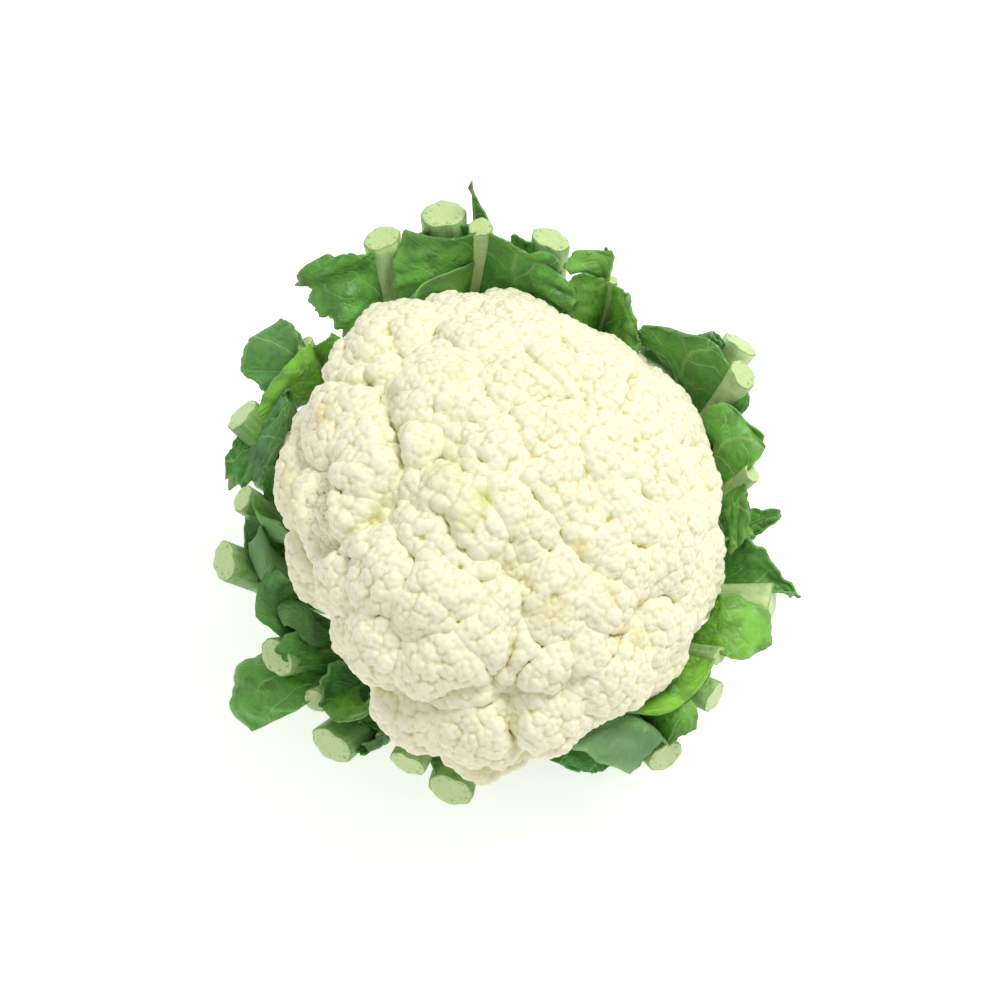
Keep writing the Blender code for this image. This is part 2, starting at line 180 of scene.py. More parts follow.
# A wing is a narrow strip of blade along one side of its rib, through stations. Each station has
# its share of the rib's length, its width in mm and the angle in degrees at which it leaves the
# rib, outwards from the head. The wing also has a roll of its edge in degrees, the height of its
# ruffles in mm and how ragged its outline is in mm.
Wing = namedtuple("Wing", "side stations roll ruffle ragged", defaults=(0, 0.8, 0.6))
WINGS = {
    "outer_leaf_1": (
        Wing("ccw", ((0.55, 3, 20), (0.8, 7, 10), (0.93, 9, -10), (0.99, 8, -20))),
        Wing("cw", ((0.6, 3, 10), (0.85, 5, 0), (0.93, 6, -10), (0.99, 6, -20))),
    ),
    "outer_leaf_2": (Wing("cw", ((0.55, 4, 0), (0.8, 5, -20), (0.93, 4, -20))),),
    "outer_leaf_3": (Wing("cw", ((0.5, 4, 0), (0.75, 7, 0), (0.9, 5, 0))),),
    "outer_leaf_4": (Wing("cw", ((0.5, 2, 0), (0.8, 2, 0))),),
    "outer_leaf_6": (
        Wing("ccw", ((0.5, 4, 0), (0.75, 6, 0), (0.9, 4, 0))),
        Wing("cw", ((0.5, 4, 0), (0.75, 7, -10), (0.93, 6, -10), (0.98, 3, 0))),
    ),
    "outer_leaf_7": (Wing("cw", ((0.6, 3, 0), (0.8, 5, -10), (0.92, 4, -10))),),
    "outer_leaf_8": (Wing("ccw", ((0.5, 5, -10), (0.75, 6, -20), (0.9, 4, -20))),),
    "outer_leaf_9": (Wing("cw", ((0.5, 5, -10), (0.75, 8, -30), (0.92, 8, -40))),),
    "middle_leaf_1": (Wing("cw", ((0.55, 4, -10), (0.8, 6, -20), (0.92, 5, -20))),),
    "middle_leaf_4": (
        Wing("ccw", ((0.6, 4, 0), (0.85, 6, 0), (0.96, 4, 0), (1.02, 1, 0))),
        Wing("cw", ((0.6, 4, 0), (0.85, 6, 0), (0.96, 4, 0), (1.02, 1, 0))),
    ),
    "middle_leaf_5": (
        Wing("ccw", ((0.5, 4, -10), (0.8, 5, -20), (0.92, 4, -20))),
        Wing("cw", ((0.5, 6, -10), (0.8, 7, -10), (0.93, 5, -10))),
    ),
    "middle_leaf_6": (Wing("ccw", ((0.6, 3, -10), (0.8, 6, -30), (0.95, 5, -30))),),
    "middle_leaf_7": (
        Wing("ccw", ((0.5, 3, 0), (0.75, 6, -10), (0.92, 5, -20), (0.97, 2, -20))),
        Wing("cw", ((0.5, 3, -20), (0.75, 5, -30), (0.92, 4, -30))),
    ),
    "middle_leaf_8": (Wing("ccw", ((0.6, 3, 0), (0.85, 4, 0), (0.93, 3, 0))),),
    "middle_leaf_9": (Wing("cw", ((0.5, 4, -10), (0.75, 6, -20), (0.92, 5, -30))),),
    "inner_leaf_5": (Wing("ccw", ((0.5, 3, -10), (0.8, 4, -20), (0.9, 3, -20))),),
}

# A blade spreads from its rib to wherever it was torn or cut. Each station has its share of the
# rib's length, then the azimuth in degrees, radius and height in mm of the blade's middle, and
# the same three of its edge. Tone is how green it is: 0 is young yellow-green, 1 is dark. Vein
# is where a pale midrib crosses it as a share of its width. Bloom is how waxy it looks.
Blade = namedtuple(
    "Blade", "side tone stations vein roll ruffle ragged bloom", defaults=(0, 0, 1.2, 0.7, 0.1)
)
BLADES = {
    "outer_leaf_2": (
        Blade("ccw", 0.8, (
            (0.5, 84, 92, 55, 88, 94, 56), (0.75, 84, 98, 66, 88, 100, 68),
            (0.9, 84, 101, 72, 88, 103, 75), (0.99, 83, 103, 76, 87, 104, 81),
        ), 0, 40, 1.0, 0.7),
    ),
    "outer_leaf_3": (
        Blade("ccw", 1.0, (
            (0.6, 44, 84, 56, 47, 84, 60), (0.8, 45, 91, 66, 49, 88, 70),
            (0.93, 44, 98, 74, 48, 93, 77), (0.98, 42, 101, 77, 45, 97, 80),
        ), 1, 200, 0.8, 0.9),
    ),
    "outer_leaf_4": (
        Blade("ccw", 0.9, (
            (0.5, 354, 70, 42, 360, 71, 52), (0.75, 354, 80, 52, 358, 81, 62),
            (0.95, 352, 90, 56, 355, 91, 62), (1.04, 349, 98, 56, 350, 101, 58),
            (1.08, 348, 103, 54, 349, 106, 54),
        ), 0, 0, 1.4, 0.9),
    ),
    "outer_leaf_5": (
        Blade("ccw", 1.0, (
            (0.4, 300, 58, 22, 304, 62, 26), (0.7, 301, 70, 24, 306, 76, 28),
            (0.9, 300, 78, 23, 305, 85, 25), (1.02, 299, 82, 21, 302, 85, 21),
        ), 0, 0, 1.2, 0.7),
        Blade("cw", 1.0, (
            (0.4, 290, 56, 20, 285, 60, 22), (0.7, 290, 66, 21, 284, 69, 23),
            (0.9, 291, 74, 20, 286, 73, 20), (1.02, 294, 80, 18, 291, 78, 17),
        ), 0, 0, 1.2, 0.7),
    ),
    "outer_leaf_7": (
        Blade("cw", 1.0, (
            (0.5, 224, 62, 34, 217, 64, 42), (0.75, 225, 70, 42, 218, 72, 50),
            (0.9, 226, 78, 47, 221, 80, 53), (0.97, 228, 84, 50, 225, 84, 54),
        ), 0, 40, 1.6, 1.0, 0.2),
        Blade("ccw", 0.9, (
            (0.6, 238, 66, 30, 244, 66, 34), (0.8, 239, 76, 36, 245, 76, 42),
            (0.95, 239, 84, 42, 244, 83, 46), (1.0, 238, 88, 45, 241, 86, 49),
        ), 0, 90, 1.2, 1.0),
    ),
    "outer_leaf_8": (
        Blade("cw", 0.5, (
            (0.55, 184, 70, 38, 179, 70, 50), (0.75, 183, 78, 48, 176, 78, 60),
            (0.86, 181, 83, 56, 175, 83, 63), (0.93, 180, 87, 60, 176, 87, 64),
        ), 2, 60, 0.9, 0.6, 0.5),
        Blade("cw", 0.6, (
            (0.5, 190, 70, 50, 200, 70, 44), (0.62, 188, 76, 60, 200, 76, 52),
            (0.72, 185, 79, 66, 197, 78, 60), (0.8, 181, 81, 69, 188, 80, 67),
        ), 2, 80, 0.8, 0.5, 0.5),
    ),
    "outer_leaf_9": (
        Blade("ccw", 0.95, (
            (0.5, 156, 78, 42, 160, 78, 46), (0.75, 160, 86, 50, 166, 88, 50),
            (0.9, 160, 92, 58, 166, 95, 52), (0.98, 160, 97, 62, 164, 99, 56),
        ), 0, 0, 1.6, 1.2),
        Blade("cw", 1.0, (
            (0.5, 152, 80, 56, 162, 82, 50), (0.66, 150, 84, 64, 164, 87, 53),
            (0.78, 148, 87, 68, 166, 92, 52), (0.85, 147, 88, 70, 167, 97, 50),
            (0.88, 147, 88, 70, 163, 98, 52),
        ), 0.5, 0, 1.8, 0.8, 0.1),
        Blade("cw", 0.85, (
            (0.45, 158, 79, 50, 169, 79, 48), (0.6, 156, 81, 60, 170, 82, 53),
            (0.72, 152, 83, 67, 170, 84, 55), (0.78, 149, 85, 70, 165, 86, 60),
        ), 0.5, 60, 1.6, 0.8, 0.0),
    ),
    "middle_leaf_1": (
        Blade("ccw", 0.75, (
            (0.7, 119, 88, 70, 126, 88, 66), (0.82, 121, 95, 76, 129, 95, 72),
            (0.9, 121, 101, 80, 129, 106, 75), (0.96, 120, 104, 84, 128, 111, 80),
            (0.985, 118, 105, 87, 124, 111, 86),
        ), 0, 0, 2.0, 1.8),
    ),
    "middle_leaf_2": (
        Blade("cw", 0.95, (
            (0.6, 91, 98, 66, 87, 98, 66), (0.78, 92, 102, 76, 89, 99, 76),
            (0.9, 93, 106, 84, 91, 103, 83), (0.98, 94, 112, 93, 93, 110, 92),
            (1.04, 95, 114, 98, 95, 113, 97),
        ), 0, 0, 0.8, 0.5),
    ),
    "middle_leaf_3": (
        Blade("ccw", 0.8, (
            (0.55, 42, 84, 56, 52, 82, 56), (0.7, 43, 86, 66, 54, 83, 68),
            (0.84, 43, 88, 76, 55, 84, 76), (0.94, 41, 92, 82, 51, 87, 81),
            (0.985, 38, 95, 85, 45, 91, 84),
        ), 0.45, 0, 1.4, 0.5),
        Blade("cw", 0.95, (
            (0.55, 26, 82, 56, 21, 82, 54), (0.75, 26, 88, 64, 21, 87, 61),
            (0.9, 27, 93, 73, 22, 93, 68), (0.96, 28, 96, 78, 24, 97, 73),
        ), 0, 90, 1.4, 1.0),
    ),
    "middle_leaf_6": (
        Blade("ccw", 0.7, (
            (0.5, 304, 70, 50, 289, 69, 42), (0.68, 304, 77, 57, 288, 74, 45),
            (0.84, 304, 84, 60, 291, 79, 42), (0.94, 305, 89, 58, 296, 86, 38),
            (0.985, 306, 92, 55, 300, 91, 37),
        ), 0.1, 0, 1.4, 0.5, 0.3),
        Blade("ccw", 0.5, (
            (0.55, 310, 76, 48, 315, 78, 54), (0.78, 311, 82, 54, 317, 83, 59),
            (0.93, 312, 89, 55, 317, 91, 57), (1.0, 311, 94, 52, 314, 96, 54),
        ), 0.8, 0, 1.0, 0.6),
    ),
    "middle_leaf_8": (
        Blade("cw", 0.8, (
            (0.45, 200, 68, 44, 193, 70, 52), (0.65, 200, 77, 52, 190, 78, 58),
            (0.8, 201, 82, 57, 190, 85, 58), (0.88, 201, 84, 58, 191, 88, 56),
            (0.93, 202, 86, 57, 196, 90, 53),
        ), 0, 70, 1.4, 0.8, 0.35),
        Blade("ccw", 0.7, (
            (0.5, 206, 68, 48, 196, 68, 54), (0.65, 208, 72, 55, 196, 72, 60),
            (0.76, 209, 75, 58, 199, 76, 62), (0.82, 209, 77, 59, 204, 78, 61),
        ), 0, 60, 1.2, 0.7, 0.0),
    ),
    "middle_leaf_9": (
        Blade("ccw", 0.45, (
            (0.55, 178, 74, 52, 186, 74, 52), (0.75, 178, 79, 61, 188, 78, 60),
            (0.86, 176, 82, 67, 189, 80, 63), (0.93, 174, 84, 70, 184, 83, 68),
        ), 2, 80, 0.6, 0.5, 0.3),
        Blade("cw", 0.9, (
            (0.55, 168, 74, 52, 164, 76, 54), (0.75, 168, 79, 60, 163, 80, 62),
            (0.9, 169, 82, 65, 165, 83, 67),
        ), 0, 0, 1.0, 0.8),
    ),
    "inner_leaf_1": (
        Blade("ccw", 0.7, (
            (0.6, 102, 86, 66, 112, 88, 66), (0.78, 102, 90, 78, 113, 93, 76),
            (0.92, 101, 95, 87, 111, 101, 83), (1.0, 100, 98, 92, 107, 106, 88),
        ), 0, 0, 1.2, 0.5),
        Blade("ccw", 0.35, (
            (0.72, 104, 87, 76, 118, 90, 76), (0.79, 103, 88, 80, 120, 91, 79),
            (0.86, 102, 89, 83, 119, 91, 81),
        ), 2, 90, 0.5, 0.4, 0.4),
        Blade("cw", 0.8, (
            (0.55, 84, 82, 66, 74, 82, 66), (0.72, 83, 85, 76, 72, 83, 76),
            (0.86, 83, 89, 84, 72, 86, 80), (0.95, 84, 92, 90, 76, 91, 84),
            (1.0, 86, 93, 93, 80, 92, 88),
        ), 0.35, 0, 2.4, 0.7),
    ),
    "inner_leaf_2": (
        Blade("ccw", 0.55, (
            (0.55, 69, 78, 62, 75, 80, 62), (0.75, 69, 82, 72, 75, 84, 74),
            (0.9, 68, 88, 80, 74, 88, 82), (0.98, 66, 92, 85, 70, 91, 86),
        ), 0, 0, 1.6, 0.7),
        Blade("cw", 0.6, (
            (0.55, 60, 78, 60, 54, 80, 60), (0.75, 59, 81, 70, 53, 81, 72),
            (0.9, 59, 87, 79, 55, 84, 78), (0.98, 62, 91, 85, 60, 89, 84),
        ), 0, 0, 2.0, 0.9),
        Blade("ccw", 0.4, (
            (0.88, 69, 93, 82, 74, 92, 82), (0.95, 69, 95, 86, 75, 94, 85),
            (0.99, 69, 97, 88, 74, 97, 88), (1.04, 66, 99, 90, 68, 100, 90),
        ), 2, 0, 1.4, 1.2, 0.25),
    ),
    "inner_leaf_3": (
        Blade("ccw", 0.62, (
            (0.55, 18, 78, 56, 25, 80, 56), (0.72, 19, 80, 66, 27, 81, 68),
            (0.88, 20, 86, 72, 29, 85, 76), (0.97, 19, 92, 72, 25, 91, 76),
            (1.03, 16, 95, 70, 19, 97, 70),
        ), 0.5, 0, 1.8, 0.9),
        Blade("cw", 0.6, (
            (0.5, 6, 76, 50, 358, 78, 48), (0.7, 5, 78, 58, 356, 79, 57),
            (0.86, 5, 82, 64, 356, 83, 61), (0.97, 6, 86, 67, 358, 87, 61),
        ), 0.4, 0, 2.0, 1.4),
    ),
    "inner_leaf_4": (
        Blade("ccw", 0.25, (
            (0.5, 335, 76, 50, 343, 75, 56), (0.72, 335, 80, 59, 343, 80, 62),
            (0.88, 334, 87, 62, 343, 90, 61), (0.96, 332, 92, 61, 341, 99, 58),
            (1.02, 331, 94, 58, 337, 101, 54),
        ), 0.45, 0, 1.2, 0.6),
        Blade("cw", 0.4, (
            (0.5, 322, 78, 46, 316, 79, 46), (0.75, 322, 83, 54, 314, 83, 54),
            (0.95, 324, 88, 58, 318, 87, 57),
        ), 2, 0, 1.2, 0.6),
        Blade("cw", 0.0, (
            (0.7, 314, 77, 50, 297, 72, 44), (0.84, 313, 79, 56, 295, 73, 50),
            (0.95, 314, 84, 60, 296, 78, 54), (1.0, 316, 88, 61, 301, 83, 55),
        ), 2, 70, 0.6, 0.5),
    ),
    "inner_leaf_5": (
        Blade("cw", 0.95, (
            (0.55, 236, 66, 32, 232, 68, 34), (0.8, 236, 73, 38, 231, 76, 42),
            (0.97, 236, 78, 42, 232, 81, 47),
        ), 0, 60, 1.2, 1.0),
    ),
    "inner_leaf_6": (
        Blade("cw", 0.75, (
            (0.55, 214, 80, 48, 208, 84, 52), (0.74, 214, 88, 49, 206, 95, 47),
            (0.88, 216, 93, 48, 208, 104, 41), (0.95, 219, 94, 46, 212, 107, 36),
            (0.99, 221, 92, 46, 217, 106, 34),
        ), 0.2, 0, 1.6, 0.9, 0.0),
        Blade("ccw", 0.35, (
            (0.55, 229, 72, 46, 237, 72, 48), (0.78, 230, 79, 53, 239, 77, 54),
            (0.92, 230, 83, 55, 239, 82, 55), (0.98, 228, 86, 54, 235, 86, 53),
        ), 2, 80, 0.8, 0.6, 0.1),
        Blade("cw", 0.9, (
            (0.45, 213, 72, 48, 206, 74, 54), (0.62, 213, 78, 54, 207, 80, 58),
            (0.75, 214, 83, 55, 209, 87, 57),
        ), 0, 30, 1.2, 0.9, 0.1),
    ),
    "inner_leaf_7": (
        Blade("ccw", 0.9, (
            (0.6, 141, 86, 56, 147, 92, 54), (0.78, 141, 91, 64, 147, 99, 60),
            (0.9, 139, 96, 70, 145, 108, 64), (0.98, 137, 99, 74, 141, 110, 70),
            (1.03, 135, 100, 76, 136, 105, 75),
        ), 0.3, 0, 1.8, 0.8, 0.35),
        Blade("ccw", 0.25, (
            (0.55, 143, 83, 54, 155, 86, 52), (0.75, 142, 86, 66, 157, 90, 60),
            (0.88, 140, 88, 73, 156, 93, 66), (0.96, 138, 91, 77, 151, 94, 72),
        ), 0.5, 0, 1.2, 0.8),
        Blade("cw", 0.6, (
            (0.6, 132, 80, 60, 129, 82, 60), (0.85, 132, 84, 72, 129, 85, 74),
            (0.98, 133, 88, 78, 131, 88, 80),
        ), 0, 0, 1.0, 0.6),
    ),
}

WING_TONE = 0.75
WING_BLOOM = 0.2

RIB_ROWS = 44
RIB_SIDES = 36
RIB_START = -0.06  # share of the rib's length, inside the stalk
CUT_RINGS = (0.96, 0.86, 0.7, 0.52, 0.35, 0.18, 0.06)  # shares of the cut face's radius
BLADE_ROWS = 52
BLADE_COLUMNS = 26
CM = 0.01  # leaf coordinates, for patterns that follow a leaf, are in centimetres


# ---------------------------------------------------------------- small helpers


def look(key):
    return getattr(bpy.context.scene, key)


def smooth_step(low, high, value):
    share = np.clip((value - low) / (high - low), 0, 1)
    return share * share * (3 - 2 * share)


def unit(vectors):
    return vectors / np.maximum(np.linalg.norm(vectors, axis=-1, keepdims=True), 1e-12)


def ripple(rng, places, scale, octaves=3):
    """Smooth random values in about -1..1 at places, made of sine waves in random directions."""
    total = np.zeros(len(places))
    for octave in range(octaves):
        for _ in range(4):
            way = rng.normal(size=places.shape[1])
            way *= 2 * math.pi * 2**octave / (scale * np.linalg.norm(way))
            total += np.sin(places @ way + rng.uniform(0, 2 * math.pi)) / (4 * 1.6**octave)
    return total * 1.4


def mesh_of(name, points, faces):
    mesh = bpy.data.meshes.new(name)
    mesh.from_pydata(np.asarray(points, dtype=float).tolist(), [], faces)
    return mesh


def add_object(name, mesh):
    obj = bpy.data.objects.new(name, mesh)
    bpy.context.scene.collection.objects.link(obj)
    return obj


def bake_modifiers(obj):
    """Replace an object's mesh with its evaluated one and drop the modifiers."""
    bpy.context.view_layer.update()
    graph = bpy.context.evaluated_depsgraph_get()
    old = obj.data
    mesh = bpy.data.meshes.new_from_object(
        obj.evaluated_get(graph), preserve_all_data_layers=True, depsgraph=graph
    )
    obj.modifiers.clear()
    name = old.name
    obj.data = mesh
    bpy.data.meshes.remove(old)
    mesh.name = name
    return mesh


def float_attribute(mesh, name, values):
    layer = mesh.attributes.new(name, "FLOAT", "POINT")
    layer.data.foreach_set("value", np.asarray(values, dtype=np.float32))


def read_floats(mesh, name):
    layer = mesh.attributes[name]
    values = np.empty(len(layer.data), dtype=np.float32)
    layer.data.foreach_get("value", values)
    return values


def read_vectors(mesh, name):
    """A mesh's points, as "co", or their normals."""
    values = np.empty(len(mesh.vertices) * 3)
    mesh.vertices.foreach_get(name, values)
    return values.reshape(-1, 3)


def ring_faces(lower, upper, sides):
    """Quads between two closed rings of points, each given by the number of its first point."""
    after = [(side + 1) % sides for side in range(sides)]
    return [(lower + a, lower + b, upper + b, upper + a) for a, b in enumerate(after)]


def fan_faces(ring, middle, sides, flipped=False):
    """Triangles from a ring to the point in its middle."""
    after = [(side + 1) % sides for side in range(sides)]
    return [
        (ring + b, ring + a, middle) if flipped else (ring + a, ring + b, middle)
        for a, b in enumerate(after)
    ]


# ---------------------------------------------------------------- node helpers


class Nodes:
    """A short way to add and join the nodes of one tree."""

    def __init__(self, tree):
        self.tree = tree

    def add(self, kind, inputs=None, **settings):
        node = self.tree.nodes.new(kind)
        for key, value in settings.items():
            setattr(node, key, value)
        for key, value in (inputs or {}).items():
            self.feed(node.inputs[key], value)
        return node

    def feed(self, socket, value):
        if isinstance(value, bpy.types.NodeSocket):
            self.tree.links.new(value, socket)
        else:
            socket.default_value = value

    def math(self, operation, first, second=0.0, clamp=False, third=0.5):
        node = self.add("ShaderNodeMath", {0: first, 1: second, 2: third}, operation=operation)
        node.use_clamp = clamp
        return node.outputs[0]

    def scaled(self, vector, amount):
        node = self.add("ShaderNodeVectorMath", {0: vector, "Scale": amount}, operation="SCALE")
        return node.outputs[0]

    def blend(self, share, first, second):
        node = self.add("ShaderNodeMix", data_type="RGBA", clamp_factor=True)
        self.feed(node.inputs[0], share)
        self.feed(node.inputs[6], first)
        self.feed(node.inputs[7], second)
        return node.outputs[2]

    def span(self, value, low, high, to_low=0.0, to_high=1.0, smooth=True):
        ends = {"From Min": low, "From Max": high, "To Min": to_low, "To Max": to_high}
        kind = "SMOOTHSTEP" if smooth else "LINEAR"
        node = self.add("ShaderNodeMapRange", {"Value": value, **ends}, interpolation_type=kind)
        return node.outputs[0]

    def noise(self, place, scale, detail=3.0, roughness=0.5):
        values = {"Vector": place, "Scale": scale, "Detail": detail, "Roughness": roughness}
        return self.add("ShaderNodeTexNoise", values).outputs["Fac"]

    def attribute(self, name):
        return self.add("ShaderNodeAttribute", attribute_name=name).outputs["Fac"]


def add_inputs(tree, inputs):
    """Named input sockets, each a label, a kind and a default; returns their identifiers."""
    found = {}
    for label, kind, value in inputs:
        socket = tree.interface.new_socket(label, in_out="INPUT", socket_type="NodeSocket" + kind)
        if value is not None:
            socket.default_value = value
        found[label] = socket.identifier
    return found


def new_group(name, inputs, outputs):
    """A shader node group with named sockets; returns its tree, its helper, and its two ends."""
    tree = bpy.data.node_groups.new(name, "ShaderNodeTree")
    add_inputs(tree, inputs)
    for label, kind in outputs:
        tree.interface.new_socket(label, in_out="OUTPUT", socket_type="NodeSocket" + kind)
    nodes = Nodes(tree)
    return tree, nodes, nodes.add("NodeGroupInput").outputs, nodes.add("NodeGroupOutput").inputs


def new_shape_tree(name, inputs):
    """A Geometry Nodes tree from a mesh and named inputs, the last of them its material."""
    tree = bpy.data.node_groups.new(name, "GeometryNodeTree")
    sockets = add_inputs(
        tree, (("Geometry", "Geometry", None), *inputs, ("Material", "Material", None))
    )
    tree.interface.new_socket("Geometry", in_out="OUTPUT", socket_type="NodeSocketGeometry")
    nodes = Nodes(tree)
    return tree, sockets, nodes, nodes.add("NodeGroupInput").outputs


def finish_shape_tree(nodes, given, geometry):
    solid = nodes.add("GeometryNodeRealizeInstances", {"Geometry": geometry})
    paint = nodes.add("GeometryNodeSetMaterial", {"Geometry": solid.outputs[0]})
    nodes.feed(paint.inputs["Material"], given["Material"])
    nodes.feed(nodes.add("NodeGroupOutput").inputs[0], paint.outputs[0])


def grow_by_tree(obj, name, tree, sockets, values):
    """Put a Geometry Nodes tree on an object, with its inputs set by the sockets' identifiers."""
    step = obj.modifiers.new(name, "NODES")
    step.node_group = tree
    for label, value in values.items():
        step[sockets[label]] = value


def new_material(name):
    material = bpy.data.materials.new(name)
    material.use_nodes = True
    shader = material.node_tree.nodes["Principled BSDF"]
    return material, Nodes(material.node_tree), shader


def place_group(nodes, tree, inputs):
    return nodes.add("ShaderNodeGroup", inputs, node_tree=tree).outputs


def emboss(nodes, shader, height, strength, distance):
    relief = nodes.add("ShaderNodeBump", {"Strength": strength, "Distance": distance})
    nodes.feed(relief.inputs["Height"], height)
    nodes.feed(shader.inputs["Normal"], relief.outputs[0])


def let_light_in(shader, weight, radius, scale):
    """Light sinks into the flesh: its share, and how far red, green and blue reach."""
    shader.inputs["Subsurface Weight"].default_value = weight
    shader.inputs["Subsurface Radius"].default_value = radius
    shader.inputs["Subsurface Scale"].default_value = scale


# ---------------------------------------------------------------- shared shader groups


def mottle_group():
    """Two colours mixed in soft patches with a fine grain over them."""
    tree, nodes, given, result = new_group(
        "Mottle",
        (
            ("Place", "Vector", None),
            ("Colour", "Color", None),
            ("Patch Colour", "Color", None),
            ("Patch Scale", "Float", 60.0),
            ("Patch Amount", "Float", 0.5),
            ("Grain Scale", "Float", 900.0),
            ("Grain Amount", "Float", 0.1),
        ),
        (("Colour", "Color"), ("Grain", "Float")),
    )
    patch = nodes.span(nodes.noise(given["Place"], given["Patch Scale"], 4.0, 0.6), 0.38, 0.64)
    grain = nodes.noise(given["Place"], given["Grain Scale"], 2.0)
    mixed = nodes.blend(
        nodes.math("MULTIPLY", patch, given["Patch Amount"]), given["Colour"], given["Patch Colour"]
    )
    either_way = nodes.math("SUBTRACT", grain, 0.5)
    bright = nodes.math("MULTIPLY_ADD", either_way, given["Grain Amount"], third=1.0)
    nodes.feed(result["Colour"], nodes.scaled(mixed, bright))
    nodes.feed(result["Grain"], grain)
    return tree


def mottled(nodes, mottle, place, colour, patch_colour, patch, grain):
    """The mottle group, with the scale and amount of its patches and of its grain."""
    return place_group(nodes, mottle, {
        "Place": place, "Colour": colour, "Patch Colour": patch_colour,
        "Patch Scale": patch[0], "Patch Amount": patch[1],
        "Grain Scale": grain[0], "Grain Amount": grain[1],
    })


def vein_group():
    """Side veins that branch from a midrib at x = 0, and a fine net between them, in cm."""
    tree, nodes, given, result = new_group(
        "Leaf Veins",
        (
            ("Place", "Vector", None),
            ("Spacing", "Float", 1.1),
            ("Rise", "Float", 0.8),
            ("Width", "Float", 0.05),
            ("Net Scale", "Float", 3.2),
        ),
        (("Veins", "Float"), ("Net", "Float"), ("Cells", "Float")),
    )
    bent = nodes.add("ShaderNodeTexNoise", {"Vector": given["Place"], "Scale": 0.9, "Detail": 2.0})
    either_way = {0: bent.outputs["Color"], 1: (0.5, 0.5, 0.5)}
    shift = nodes.add("ShaderNodeVectorMath", either_way, operation="SUBTRACT")
    sway = {0: shift.outputs[0], 1: (0.7, 0.7, 0.0), 2: given["Place"]}
    swayed = nodes.add("ShaderNodeVectorMath", sway, operation="MULTIPLY_ADD")
    parts = nodes.add("ShaderNodeSeparateXYZ", {0: swayed.outputs[0]}).outputs
    across = nodes.math("ABSOLUTE", parts["X"])
    slanted = nodes.math("SUBTRACT", parts["Y"], nodes.math("MULTIPLY", across, given["Rise"]))
    turns = nodes.math("DIVIDE", slanted, given["Spacing"])
    from_line = nodes.math("MULTIPLY", nodes.math("PINGPONG", turns, 0.5), given["Spacing"])
    thin = nodes.math("MULTIPLY", given["Width"], nodes.span(across, 0.0, 3.0, 1.4, 0.5))
    lines = nodes.math("SUBTRACT", 1.0, nodes.math("DIVIDE", from_line, thin, True), True)
    midrib = nodes.math("SUBTRACT", 1.0, nodes.math("DIVIDE", across, 0.12, True), True)
    nodes.feed(result["Veins"], nodes.math("MAXIMUM", lines, midrib))
    net = nodes.add(
        "ShaderNodeTexVoronoi",
        {"Vector": swayed.outputs[0], "Scale": given["Net Scale"]},
        feature="DISTANCE_TO_EDGE",
    )
    nodes.feed(result["Net"], nodes.span(net.outputs["Distance"], 0.0, 0.10, 1.0, 0.0))
    nodes.feed(result["Cells"], nodes.span(net.outputs["Distance"], 0.0, 0.35))
    return tree


def fibre_group():
    """Fibre ends on a cut: dots of the vessels in a ring under the skin, and a rough pith."""
    tree, nodes, given, result = new_group(
        "Cut Fibres",
        (
            ("Place", "Vector", None),
            ("Share", "Float", 0.0),
            ("Dot Scale", "Float", 5.0),
        ),
        (("Dots", "Float"), ("Skin", "Float"), ("Rough", "Float")),
    )
    cells = {"Vector": given["Place"], "Scale": given["Dot Scale"]}
    dots = nodes.add("ShaderNodeTexVoronoi", cells)
    within = nodes.span(given["Share"], 0.8, 0.93, 1.0, 0.0)
    ring = nodes.math("MULTIPLY", nodes.span(given["Share"], 0.45, 0.7), within)
    spots = nodes.span(dots.outputs["Distance"], 0.12, 0.4, 1.0, 0.0)
    nodes.feed(result["Dots"], nodes.math("MULTIPLY", spots, ring))
    nodes.feed(result["Skin"], nodes.span(given["Share"], 0.88, 1.0))
    nodes.feed(result["Rough"], nodes.noise(given["Place"], 14.0, 5.0, 0.7))
    return tree


# ---------------------------------------------------------------- materials


